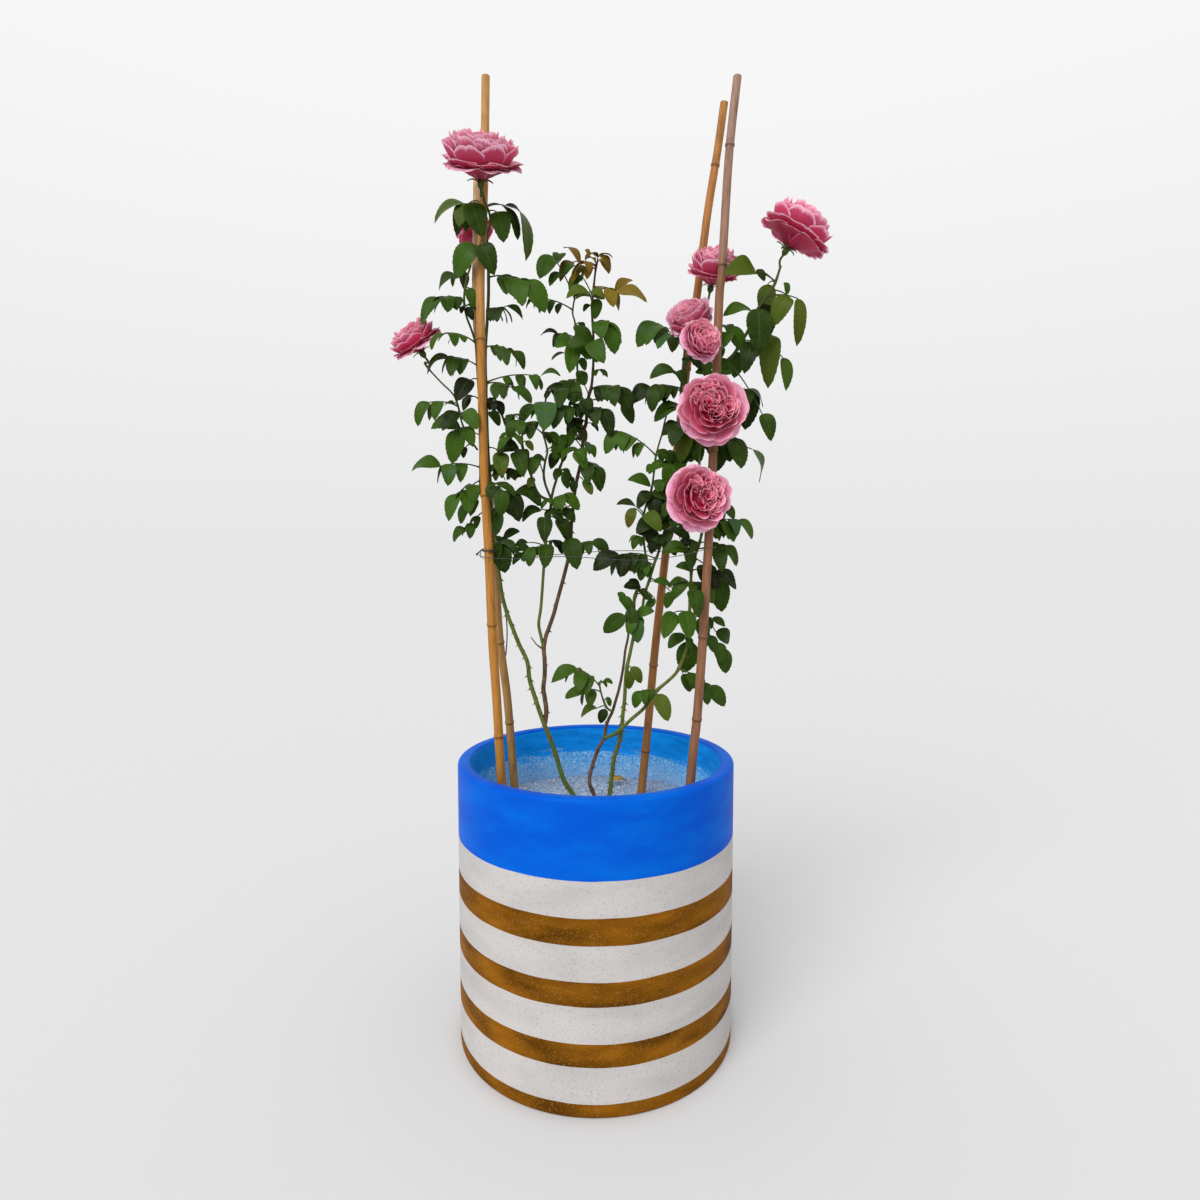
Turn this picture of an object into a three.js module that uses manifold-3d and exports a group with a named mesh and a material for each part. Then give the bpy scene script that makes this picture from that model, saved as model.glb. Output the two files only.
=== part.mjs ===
// Climbing rose tied to four leaning bamboo canes, planted in a painted, striped pot.
// Millimetres, +Z up, front towards -Y, origin on the ground under the middle of the pot.
import * as THREE from 'three';
import { mergeVertices } from 'three/addons/utils/BufferGeometryUtils.js';
import Module from 'manifold-3d';

const wasm = await Module();
wasm.setup();

// Pot and soil
const POT_RADIUS = 190;
const POT_HEIGHT = 386;
const POT_WALL = 18;
const POT_FLOOR = 22;
const POT_EDGE = 3;
const POT_SEGMENTS = 36;
const DRAIN_HOLES = 4;
const DRAIN_RADIUS = 7;
const DRAIN_RING_RADIUS = 95;
const DRAIN_SEGMENTS = 12;
const SOIL_LEVEL = 306;
const SOIL_DOME = 4;
// The soil falls a little towards its edge, mostly near the wall
const SOIL_EDGE_DROP = 2;
const SOIL_SHOULDER = 0.6;
const SOIL_SEGMENTS = 18;

// Clear space kept between two pieces that touch
const GAP = 0.3;
const STEM_CLEARANCE = 0.6;

// Canes
const CANE_RADIUS = 6.2;
const CANE_SIDES = 8;
const CANE_TAPER = 0.12;
const CANE_SPANS = 3;
const JOINT_SWELL = 1.16;
const JOINT_HALF_LENGTH = 3.5;
const CANE_HOLE_CLEARANCE = 0.5;
const CURVE_SAMPLES = 400;

// Stems, thorns and leaf stalks
const STEM_SIDES = 5;
const THIN_STEM_SIDES = 3;
const THIN_STEM = 2.5;
const STEM_RINGS_PER_POINT = 0.7;
const LEAF_STALK_RADIUS = 0.9;
const BLOOM_STALK_RADIUS = 1.6;
// How far below a bloom's foot its stalk turns straight, and where the calyx under it starts and ends
const STALK_STRAIGHT = [16, 7];
const CALYX_RADIUS = 4.2;
const CALYX_ENDS = [4, 1];
const THORN_LENGTH = 4.5;
const THORN_BASE = 3.4;
const THORN_FALL = 0.35;

// Leaflets, as shares of their own length
const LEAFLET_WIDTH = 0.6;
const LEAFLET_WIDTH_SPREAD = [0.9, 1.08];
const LEAFLET_ARCH = 0.1;
const LEAFLET_CUP = 0.16;
const LEAFLET_WAVE = 0.02;
const LEAFLET_THICKNESS = 1.3;
const MOST_PAIRS = 1;
const SMALLEST_LEAFLET = 15;
const SIDE_LEAFLET_SHARE = 0.84;
const SIDE_LEAFLET_STEP = 0.08;
const SIDE_LEAFLET_AHEAD = [0.35, 0.6];
const SIDE_LEAFLET_LENGTHS = [0.88, 1.08];
const SIDE_LEAFLET_ROLL = 0.3;
const SIDE_LEAFLET_SPREAD = [0.85, 0.45];
const SIDE_LEAFLET_DROOP = [0.35, 1];
const STALK_RISE = 0.16;
// Where the pairs of side leaflets sit along a leaf's stalk, for no, one, two and three pairs
const PAIR_PLACES = [[], [0.62], [0.46, 0.78], [0.36, 0.6, 0.84]];
// Half the leaflet's width at steps along its length
const END_LEAFLET_OUTLINE = [[0.3, 0.46], [0.72, 0.38], [1, 0], [0.76, -0.36], [0.34, -0.48]];
const SIDE_LEAFLET_OUTLINE = [[0.4, 0.48], [1, 0], [0.5, -0.48]];

// Petals
const PETAL_THICKNESS = 1.5;
const BLOOM_DEPTH = 0.6;
// Rows of petals, outermost first: how many, where the foot lies outwards and along the axis, length
// and width, all as shares of the bloom's radius, and the lean from the axis at foot and lip in degrees
const PETAL_ROWS = [
  { count: 5, out: 0.18, up: 0.16, length: 0.85, width: 1.3, foot: 76, lip: 94 },
  { count: 5, out: 0.18, up: 0.3, length: 0.84, width: 1.1, foot: 72, lip: 18 },
  { count: 5, out: 0.18, up: 0.46, length: 0.68, width: 0.8, foot: 66, lip: -14 },
];
// The share of its own part of the row's circle that a petal fills, so that neighbours stay apart
const PETAL_SPREAD = 0.9;
const PETAL_CUP = 0.16;
const PETAL_FOOT_DEPTH = 0.08;
const PETAL_MIDDLE = 0.55;
// A petal's edge from one side of its foot round the lip to the other: share of its length and width
const PETAL_EDGE = [[0.5, -0.5], [0.86, -0.46], [1, 0.02], [0.84, 0.48], [0.5, 0.5]];
// A bloom's closed middle: outwards and along its axis, as shares of its radius
const BLOOM_CORE = [[0, 0], [0.24, 0.1], [0.24, 0.6], [0.16, 1.0], [0, 0.92]];
const CORE_SEGMENTS = 5;

// The plant was measured standing 1.04 m in front of it. Places on it are given across and up as seen
// on the upright plane through the middle of the pot, with the depth behind that plane, and are moved
// along the line of sight.
const VIEWER = { across: 6, distance: 1044, up: 673 };

function seen(across, up, depth) {
  const reach = (depth + VIEWER.distance) / VIEWER.distance;
  return new THREE.Vector3(
    VIEWER.across + (across - VIEWER.across) * reach,
    depth,
    VIEWER.up + (up - VIEWER.up) * reach,
  );
}

// Binding wire and ties
const WIRE_SIDES = 3;
const LOOP_STEPS = 34;
const TIE_STEPS = 20;
const TAIL_STEPS = 8;

// Each cane from its foot in the soil to its cut top: across, up, depth
const CANES = [
  {
    name: 'cane_left_front',
    joints: [948, 744, 574, 427],
    route: [
      [-117, 74, -66], [-132, 342, -58], [-138, 464, -54], [-143, 548, -51], [-147, 662, -47],
      [-153, 808, -39], [-155, 1007, -29], [-152, 1086, -24], [-148, 1170, -19], [-145, 1295, -12],
    ],
  },
  {
    name: 'cane_left_back',
    joints: [1086, 848, 539, 421],
    route: [
      [-95, 74, 62], [-114, 339, 54], [-123, 464, 48], [-133, 548, 45], [-139, 647, 40],
      [-151, 821, 33], [-158, 948, 27], [-161, 1007, 24], [-158, 1132, 18], [-157, 1199, 14],
    ],
  },
  {
    name: 'cane_right_front',
    joints: [1194, 1041, 801, 559, 451, 357],
    route: [
      [114, 74, -78], [133, 353, -68], [142, 451, -63], [151, 603, -57], [160, 808, -47],
      [166, 1007, -36], [169, 1041, -34], [177, 1194, -28], [187, 1295, -24],
    ],
  },
  {
    name: 'cane_right_back',
    joints: [1202, 928, 740, 504, 376],
    route: [
      [37, 74, 72], [64, 336, 65], [74, 442, 62], [82, 534, 59], [95, 658, 56], [118, 875, 50],
      [137, 1020, 46], [149, 1118, 43], [162, 1202, 40], [170, 1262, 38],
    ],
  },
];

// Each shoot from its root or its parent shoot to its tip
const SHOOTS = {
  left_climbing_stem: {
    tone: 'green',
    radius: [4.4, 2.0],
    thorns: 10,
    route: [
      [6, 218, 2], [-5, 257, 1], [-18, 300, 0], [-32, 329, 0], [-45, 350, -2], [-54, 379, -5],
      [-63, 407, -8], [-74, 435, -10], [-85, 468, -10], [-92, 492, -8], [-95, 517, -5], [-106, 541, 0],
      [-115, 564, 0], [-124, 589, 4], [-130, 614, 2], [-133, 638, -2], [-139, 665, -6],
      [-143, 692, -12], [-144, 727, -14], [-145, 761, -14], [-147, 801, -14], [-148, 848, -14],
      [-149, 895, -12], [-149, 941, -10], [-146, 981, -10], [-144, 1015, -8], [-144, 1053, -5],
      [-146, 1092, 0], [-149, 1130, 0],
    ],
  },
  left_side_shoot: {
    tone: 'green',
    radius: [2.2, 1.3],
    thorns: 0,
    parent: 'left_climbing_stem',
    route: [
      [-144, 717, -15], [-150, 731, -12], [-157, 751, -12], [-157, 774, -14], [-157, 801, -14],
      [-157, 828, -13], [-158, 855, -10], [-158, 882, -8], [-159, 915, -4], [-161, 945, 2],
      [-167, 967, 4], [-174, 986, 2], [-177, 1007, 0], [-174, 1031, 0], [-168, 1051, 6],
    ],
  },
  left_bloom_shoot: {
    tone: 'green',
    radius: [1.4, 1.1],
    thorns: 0,
    parent: 'left_side_shoot',
    route: [
      [-161, 808, -15], [-166, 815, -19], [-174, 827, -23], [-182, 845, -26], [-186, 864, -28],
      [-193, 882, -28], [-209, 898, -26], [-224, 914, -22],
    ],
  },
  leaning_shoot: {
    tone: 'green',
    radius: [2.0, 1.4],
    thorns: 0,
    parent: 'middle_left_shoot',
    route: [
      [-61, 740, 0], [-69, 742, -4], [-76, 746, -6], [-82, 755, -8], [-88, 773, -10], [-96, 797, -10],
      [-102, 820, -8], [-111, 831, -8], [-121, 839, -8], [-127, 854, -9], [-133, 867, -10],
      [-138, 880, -10], [-141, 890, -8],
    ],
  },
  middle_brown_stem: {
    tone: 'bark',
    radius: [3.4, 1.5],
    thorns: 3,
    parent: 'left_climbing_stem',
    route: [
      [-71, 430, -10], [-69, 448, -7], [-71, 466, -4], [-73, 480, -3], [-71, 499, -2], [-71, 520, 0],
      [-72, 536, 2], [-69, 553, 4], [-65, 564, 6], [-58, 584, 10], [-53, 603, 12], [-46, 628, 14],
      [-40, 651, 14], [-35, 672, 12], [-34, 692, 10], [-33, 713, 8], [-30, 736, 6], [-28, 756, 4],
      [-24, 775, 2], [-20, 794, 0], [-18, 813, 0], [-17, 829, 0], [-13, 845, 0], [-12, 862, 0],
      [-10, 878, 0], [-6, 892, -2], [-4, 910, -4], [-3, 931, -6], [-3, 955, -8], [-4, 974, -8],
      [-5, 994, -8], [-4, 1011, -8],
    ],
  },
  young_shoot: {
    tone: 'young',
    radius: [1.6, 1.2],
    thorns: 0,
    parent: 'middle_brown_stem',
    route: [
      [-4, 1009, -8], [-2, 1030, -8], [0, 1047, -6], [2, 1057, -4],
    ],
  },
  middle_left_shoot: {
    tone: 'green',
    radius: [2.3, 1.3],
    thorns: 0,
    parent: 'middle_brown_stem',
    route: [
      [-72, 536, 2], [-76, 553, 0], [-79, 570, 0], [-76, 591, 0], [-74, 614, 0], [-72, 642, 0],
      [-70, 664, 0], [-69, 682, 0], [-66, 699, 0], [-63, 720, 0], [-61, 740, 0], [-65, 751, -3],
      [-69, 762, -5], [-71, 775, -6], [-69, 792, -7], [-66, 805, -7], [-68, 817, -7], [-71, 829, -7],
      [-71, 844, -6], [-69, 867, -4], [-67, 880, -2],
    ],
  },
  middle_dark_shoot: {
    tone: 'green',
    radius: [1.9, 1.1],
    thorns: 0,
    parent: 'middle_left_shoot',
    route: [
      [-61, 740, 0], [-58, 754, 8], [-54, 767, 14], [-50, 781, 18], [-45, 794, 20], [-39, 811, 20],
      [-35, 827, 18], [-32, 843, 15], [-30, 862, 12], [-28, 882, 12], [-25, 902, 11], [-25, 919, 10],
      [-27, 941, 10], [-27, 960, 10], [-28, 978, 10], [-31, 989, 10], [-30, 1001, 10], [-28, 1010, 10],
    ],
  },
  right_brown_stem: {
    tone: 'bark',
    radius: [3.2, 1.6],
    thorns: 2,
    route: [
      [6, 218, 14], [6, 264, 12], [3, 304, 10], [-2, 327, 8], [-8, 342, 6], [-9, 354, 6], [-5, 370, 4],
      [0, 386, 2], [6, 400, 0], [12, 411, 0], [14, 425, 3], [18, 437, 5], [23, 447, 6], [28, 464, 6],
      [32, 478, 6], [36, 497, 6], [39, 517, 6], [41, 534, 6], [44, 548, 6], [46, 564, 5],
    ],
  },
  low_spray: {
    tone: 'green',
    radius: [1.6, 1.0],
    thorns: 0,
    parent: 'right_brown_stem',
    route: [
      [24, 447, 5], [16, 452, 0], [11, 462, -4], [7, 475, -8], [5, 486, -10],
    ],
  },
  right_green_branch: {
    tone: 'green',
    radius: [2.6, 1.5],
    thorns: 2,
    parent: 'right_brown_stem',
    route: [
      [12, 411, 0], [21, 413, -8], [32, 420, -16], [50, 437, -18], [66, 451, -18], [77, 466, -19],
      [86, 478, -20], [100, 490, -22], [111, 501, -22], [118, 514, -23], [124, 531, -25],
      [128, 550, -26], [129, 575, -26], [130, 603, -26], [131, 628, -26], [132, 647, -24],
      [138, 669, -20], [144, 688, -17], [147, 710, -16], [144, 736, -16], [141, 767, -14],
      [142, 801, -12], [145, 828, -10], [147, 855, -10], [154, 879, -8], [161, 899, -5], [169, 915, 0],
    ],
  },
  right_thorny_stem: {
    tone: 'green',
    radius: [3.2, 2.1],
    thorns: 9,
    route: [
      [14, 218, -6], [17, 264, -5], [18, 304, -5], [19, 326, -5], [21, 343, -5], [23, 362, -5],
      [25, 379, -5], [30, 396, -5], [34, 411, -5], [36, 425, -5], [38, 447, -4], [40, 464, -4],
      [41, 485, -4], [43, 508, -5], [47, 527, -6], [50, 542, -7], [54, 562, -8], [52, 582, -8],
      [53, 603, -8], [57, 617, -8],
    ],
  },
  right_climbing_shoot: {
    tone: 'green',
    radius: [2.1, 1.4],
    thorns: 0,
    parent: 'right_thorny_stem',
    route: [
      [54, 559, -8], [58, 573, -9], [63, 585, -10], [66, 603, -11], [69, 617, -12], [73, 628, -12],
      [77, 642, -12], [81, 655, -12], [86, 668, -12], [90, 682, -12], [94, 697, -10], [98, 713, -7],
      [103, 740, 0], [109, 767, 7], [114, 794, 10], [117, 821, 11], [118, 848, 10], [116, 875, 8],
      [116, 895, 6], [118, 922, 4], [121, 947, 0],
    ],
  },
  right_inner_shoot: {
    tone: 'green',
    radius: [1.7, 1.1],
    thorns: 0,
    parent: 'right_climbing_shoot',
    route: [
      [76, 639, -12], [71, 655, -6], [67, 675, -3], [65, 697, -2], [65, 716, -2], [69, 733, -2],
      [76, 754, -4], [79, 774, -4], [81, 794, -4], [85, 812, -4], [90, 829, -4], [93, 843, -4],
      [97, 859, -4], [99, 875, -2],
    ],
  },
  upper_right_shoot: {
    tone: 'green',
    radius: [2.0, 1.7],
    thorns: 0,
    parent: 'right_green_branch',
    route: [
      [169, 915, 0], [177, 927, 0], [187, 937, -3], [201, 959, -8], [211, 978, -10], [218, 996, -12],
      [232, 1013, -14], [241, 1030, -16], [248, 1052, -18],
    ],
  },
};

// Each leaf: place on its shoot, end of its stalk, tip of its end leaflet (across and up for each),
// pairs of side leaflets, depth of the stalk's end behind the shoot, tilt of the upper side from facing
// the front (0) to facing up (90), and the end leaflet's length, 0 where it is as long as it looks.
const LEAVES = {
  left_climbing_stem: [
    [-148, 1127, -120, 1130, -87, 1062, 0, -22, 80, 0],
    [-148, 1127, -129, 1132, -101, 1088, 0, -30, 78, 0],
    [-147, 1119, -132, 1122, -123, 1082, 0, -36, 20, 40],
    [-148, 1128, -173, 1131, -217, 1110, 2, -4, 50, 0],
    [-149, 1130, -168, 1134, -152, 1091, 0, -49, 10, 44],
    [-145, 1086, -155, 1080, -136, 1040, 0, -10, 15, 0],
    [-144, 1037, -94, 1032, -68, 990, 2, -18, 45, 0], [-146, 992, -127, 996, -98, 981, 2, -20, 55, 0],
    [-147, 945, -114, 940, -96, 916, 2, -28, 45, 0], [-147, 898, -75, 906, -47, 906, 3, -11, 55, 0],
    [-146, 854, -144, 859, -130, 841, 0, 18, 25, 0], [-145, 811, -130, 805, -128, 773, 0, -20, 10, 34],
    [-144, 762, -128, 754, -130, 718, 1, -49, 30, 34],
    [-144, 756, -117, 747, -105, 710, 0, -15, 12, 38], [-144, 746, -110, 752, -75, 731, 1, -6, 50, 0],
    [-144, 724, -139, 729, -136, 692, 1, -7, 20, 34], [-143, 691, -127, 688, -104, 698, 1, 8, 35, 0],
    [-141, 679, -132, 682, -125, 640, 1, -14, 20, 38], [-147, 896, -113, 891, -86, 872, 1, -37, 40, 0],
  ],
  left_side_shoot: [
    [-165, 1065, -159, 1078, -189, 1037, 0, -44, 10, 0],
    [-168, 1051, -187, 1040, -213, 1022, 1, 24, 45, 0],
    [-167, 1056, -167, 1062, -181, 1041, 0, 1, 25, 0],
    [-177, 1006, -208, 1010, -235, 974, 2, -34, 45, 0],
    [-176, 1022, -170, 1023, -164, 997, 0, -14, 20, 0],
    [-177, 1001, -173, 998, -165, 980, 1, -10, 25, 0], [-164, 951, -205, 963, -224, 943, 2, -54, 60, 0],
    [-164, 920, -198, 932, -230, 911, 2, -26, 50, 0], [-164, 902, -169, 902, -189, 874, 0, -15, 8, 38],
    [-164, 875, -170, 879, -180, 860, 1, 26, 35, 0], [-160, 784, -211, 786, -252, 781, 2, -33, 45, 0],
    [-160, 767, -182, 747, -204, 712, 2, -20, 45, 0], [-157, 750, -171, 735, -187, 708, 1, 9, 40, 0],
    [-149, 727, -178, 701, -197, 684, 2, -10, 40, 0],
  ],
  left_bloom_shoot: [
    [-186, 867, -225, 872, -243, 840, 1, -18, 40, 0], [-185, 860, -187, 859, -208, 832, 0, -22, 12, 36],
    [-184, 855, -180, 859, -161, 836, 0, -10, 12, 32],
    [-179, 837, -186, 835, -196, 789, 1, -20, 15, 44], [-188, 872, -191, 870, -206, 868, 0, -10, 50, 0],
    [-168, 817, -177, 812, -181, 797, 0, 1, 30, 0],
  ],
  leaning_shoot: [
    [-102, 819, -117, 825, -133, 807, 1, -46, 50, 0], [-99, 807, -110, 805, -98, 770, 1, -24, 12, 38],
  ],
  middle_brown_stem: [
    [-37, 664, -37, 688, -26, 646, 0, -17, 8, 46], [-35, 673, -5, 684, 18, 669, 1, -20, 25, 0],
    [-31, 732, -45, 728, -28, 710, 0, -13, 15, 0], [-25, 771, -17, 767, -5, 747, 0, -24, 12, 0],
    [-20, 794, -5, 786, 7, 751, 2, -16, 35, 0], [-19, 808, -30, 805, -11, 780, 1, -24, 25, 0],
    [-18, 821, -9, 815, -1, 797, 1, 1, 30, 0], [-12, 862, 7, 863, 21, 825, 1, -20, 30, 0],
    [-7, 890, 29, 892, 48, 858, 2, -24, 30, 0], [-3, 939, -9, 951, 11, 924, 1, -28, 12, 38],
    [-4, 976, 15, 978, 27, 937, 2, -20, 25, 0], [-5, 999, 2, 1009, -1, 982, 0, -14, 20, 0],
    [-4, 1002, -10, 1018, -40, 1009, 1, -32, 25, 0], [-28, 870, -44, 864, -58, 835, 1, -30, 25, 32],
    [-27, 837, -46, 824, -56, 794, 1, 1, 20, 32], [-30, 811, -38, 827, -23, 848, 1, 45, 30, 26],
    [-8, 880, -15, 894, -23, 915, 0, 2, 20, 24], [3, 872, 36, 870, 51, 843, 0, 22, 15, 34],
  ],
  young_shoot: [
    [1, 1051, -21, 1054, -44, 1075, 1, -28, 62, 0], [1, 1054, -8, 1064, -14, 1074, 1, -25, 25, 0],
    [2, 1056, 7, 1061, 19, 1043, 0, 1, 25, 0], [0, 1048, -13, 1051, -33, 1030, 1, -6, 50, 0],
    [-6, 1057, 4, 1066, 19, 1043, 1, -16, 62, 0], [-8, 1054, -30, 1057, -48, 1031, 0, 21, 30, 0],
    [-2, 1024, 29, 1018, 69, 1003, 1, -10, 45, 0], [2, 1020, 26, 1019, 49, 1035, 0, 8, 35, 0],
  ],
  middle_left_shoot: [
    [-69, 675, -68, 680, -70, 647, 0, -22, 8, 36], [-69, 676, -90, 673, -110, 669, 1, -12, 30, 0],
    [-69, 682, -49, 684, -46, 666, 1, 22, 30, 0], [-64, 714, -70, 717, -71, 684, 0, -39, 8, 38],
    [-63, 724, -75, 727, -101, 710, 0, -12, 45, 0], [-62, 727, -59, 725, -45, 709, 1, -13, 20, 0],
    [-63, 718, -54, 714, -37, 684, 0, -8, 35, 0], [-61, 737, -46, 747, -22, 727, 1, -12, 40, 0],
    [-69, 862, -69, 872, -70, 833, 0, -26, 5, 44], [-70, 858, -82, 868, -104, 845, 2, 21, 25, 0],
    [-71, 831, -64, 831, -49, 815, 1, 4, 35, 0], [-67, 879, -59, 887, -48, 872, 1, -18, 30, 0],
    [-102, 827, -107, 848, -119, 821, 1, -24, 30, 28], [-87, 767, -79, 797, -88, 773, 0, -14, 15, 28],
  ],
  middle_dark_shoot: [
    [-49, 785, -45, 774, -38, 755, 1, -16, 25, 0], [-43, 797, -49, 805, -62, 782, 1, -8, 45, 0],
    [-29, 875, -32, 892, -19, 874, 1, -29, 20, 0], [-28, 878, -44, 890, -50, 863, 1, -32, 15, 34],
    [-27, 947, -29, 948, -35, 912, 1, -24, 12, 38], [-30, 994, -74, 1009, -94, 996, 3, -8, 55, 0],
    [-28, 1009, -58, 1065, -75, 1034, 1, -18, 25, 0],
  ],
  low_spray: [
    [5, 483, -26, 508, -62, 487, 2, -18, 45, 0], [6, 485, 10, 490, 24, 487, 1, 6, 40, 0],
    [7, 475, -14, 478, -43, 466, 1, -12, 35, 0], [11, 462, 17, 468, 20, 454, 0, 1, 15, 0],
    [13, 457, 13, 451, 6, 430, 0, -19, 8, 0], [13, 455, 2, 452, -22, 440, 0, -6, 55, 0],
  ],
  right_green_branch: [
    [85, 476, 64, 476, 53, 452, 1, -14, 20, 0], [86, 478, 85, 472, 101, 433, 0, -20, 8, 44],
    [115, 508, 155, 482, 180, 454, 2, 4, 20, 0], [128, 548, 129, 546, 125, 499, 0, 6, 8, 48],
    [128, 548, 122, 552, 100, 536, 1, -13, 40, 0], [129, 573, 122, 588, 130, 548, 0, -24, 10, 42],
    [129, 584, 108, 586, 94, 549, 0, -23, 8, 42], [130, 610, 133, 617, 140, 578, 0, -41, 8, 42],
    [131, 624, 126, 628, 105, 603, 1, -11, 40, 0], [132, 640, 131, 643, 110, 650, 0, -12, 30, 0],
    [135, 658, 125, 672, 91, 668, 2, -14, 30, 0], [139, 673, 168, 673, 174, 642, 0, -13, 10, 36],
    [142, 682, 176, 677, 196, 651, 1, 3, 40, 0], [132, 644, 164, 642, 193, 617, 2, -8, 40, 0],
    [146, 695, 177, 709, 191, 683, 1, 2, 25, 0], [147, 705, 195, 713, 216, 687, 1, 5, 55, 0],
    [129, 570, 175, 536, 181, 500, 2, 4, 20, 0], [129, 578, 161, 578, 179, 566, 1, 7, 35, 0],
    [145, 825, 187, 823, 198, 782, 1, -21, 12, 46], [143, 813, 213, 809, 224, 763, 0, 10, 80, 0],
    [154, 878, 212, 888, 203, 835, 0, 31, 10, 44], [149, 895, 159, 923, 170, 945, 1, 6, 20, 30],
    [147, 835, 139, 813, 127, 792, 1, 24, 15, 32], [146, 827, 172, 808, 164, 778, 1, 30, 25, 32],
    [146, 658, 168, 631, 174, 586, 1, 26, 20, 40], [144, 603, 166, 559, 187, 543, 0, 24, 20, 30],
    [120, 508, 121, 500, 131, 475, 0, 10, 20, 28],
  ],
  right_thorny_stem: [
    [44, 510, 49, 510, 63, 487, 0, -6, 25, 0], [43, 507, 46, 504, 46, 478, 0, -5, 12, 0],
    [53, 588, 40, 582, 11, 557, 0, -18, 10, 0], [52, 585, 49, 586, 32, 606, 0, -12, 35, 0],
    [53, 578, 56, 578, 58, 543, 1, -12, 15, 0], [55, 607, 62, 621, 38, 622, 1, -12, 25, 0],
  ],
  right_climbing_shoot: [
    [73, 627, 79, 629, 105, 620, 0, -14, 50, 0], [69, 616, 82, 604, 68, 589, 0, 1, 10, 0],
    [75, 633, 104, 614, 97, 591, 0, -18, 10, 0], [77, 644, 68, 655, 61, 629, 1, -10, 25, 0],
    [80, 651, 48, 660, 36, 635, 1, -17, 25, 0], [83, 660, 33, 665, -4, 644, 2, -25, 35, 0],
    [89, 679, 79, 684, 76, 666, 1, -12, 25, 0], [94, 699, 105, 699, 129, 684, 1, -12, 25, 0],
    [102, 735, 104, 739, 91, 716, 0, -26, 10, 0], [111, 773, 101, 790, 96, 755, 1, -27, 15, 0],
    [118, 835, 116, 840, 104, 811, 1, -24, 15, 36], [117, 819, 123, 819, 120, 786, 0, -7, 15, 0],
    [116, 868, 109, 864, 79, 847, 1, -26, 20, 0], [116, 886, 80, 894, 76, 860, 2, -37, 15, 34],
    [116, 890, 75, 892, 46, 871, 1, -8, 20, 0], [117, 899, 106, 914, 73, 902, 1, -26, 25, 0],
    [120, 941, 83, 977, 56, 945, 1, 11, 30, 0], [119, 928, 127, 933, 141, 916, 1, -12, 25, 0],
    [94, 679, 77, 716, 72, 680, 1, -10, 15, 30],
  ],
  right_inner_shoot: [
    [65, 721, 55, 731, 28, 733, 0, -12, 50, 0], [65, 718, 52, 729, 44, 702, 0, -16, 5, 0],
    [65, 717, 67, 721, 89, 699, 0, -22, 8, 36], [77, 755, 75, 759, 43, 767, 0, -8, 35, 0],
    [82, 800, 33, 833, 13, 802, 2, -12, 25, 36], [76, 751, 77, 748, 83, 713, 1, -6, 20, 36],
  ],
  upper_right_shoot: [
    [212, 980, 217, 996, 219, 932, 0, -23, 20, 0], [197, 952, 212, 952, 201, 911, 0, -23, 8, 42],
    [205, 967, 238, 961, 233, 891, 0, 5, 40, 0], [204, 964, 253, 931, 259, 887, 0, 10, 40, 0],
    [211, 978, 209, 994, 171, 986, 0, -14, 40, 0], [242, 1030, 231, 1028, 228, 984, 0, 33, 25, 0],
    [232, 1011, 272, 1009, 274, 948, 0, 16, 84, 0], [230, 1010, 261, 1011, 239, 974, 0, -26, 20, 0],
    [237, 1020, 257, 1014, 254, 1031, 0, -4, 30, 0], [242, 1031, 215, 1044, 176, 1044, 0, -15, 8, 46],
    [242, 1030, 216, 1047, 227, 1032, 0, -21, 20, 18], [191, 943, 177, 970, 200, 941, 1, -12, 25, 0],
    [177, 927, 226, 856, 240, 820, 1, 0, 15, 0], [211, 948, 192, 939, 187, 904, 0, 14, 10, 38],
    [234, 1007, 226, 1002, 232, 957, 0, 15, 40, 0],
  ],
};

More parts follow.
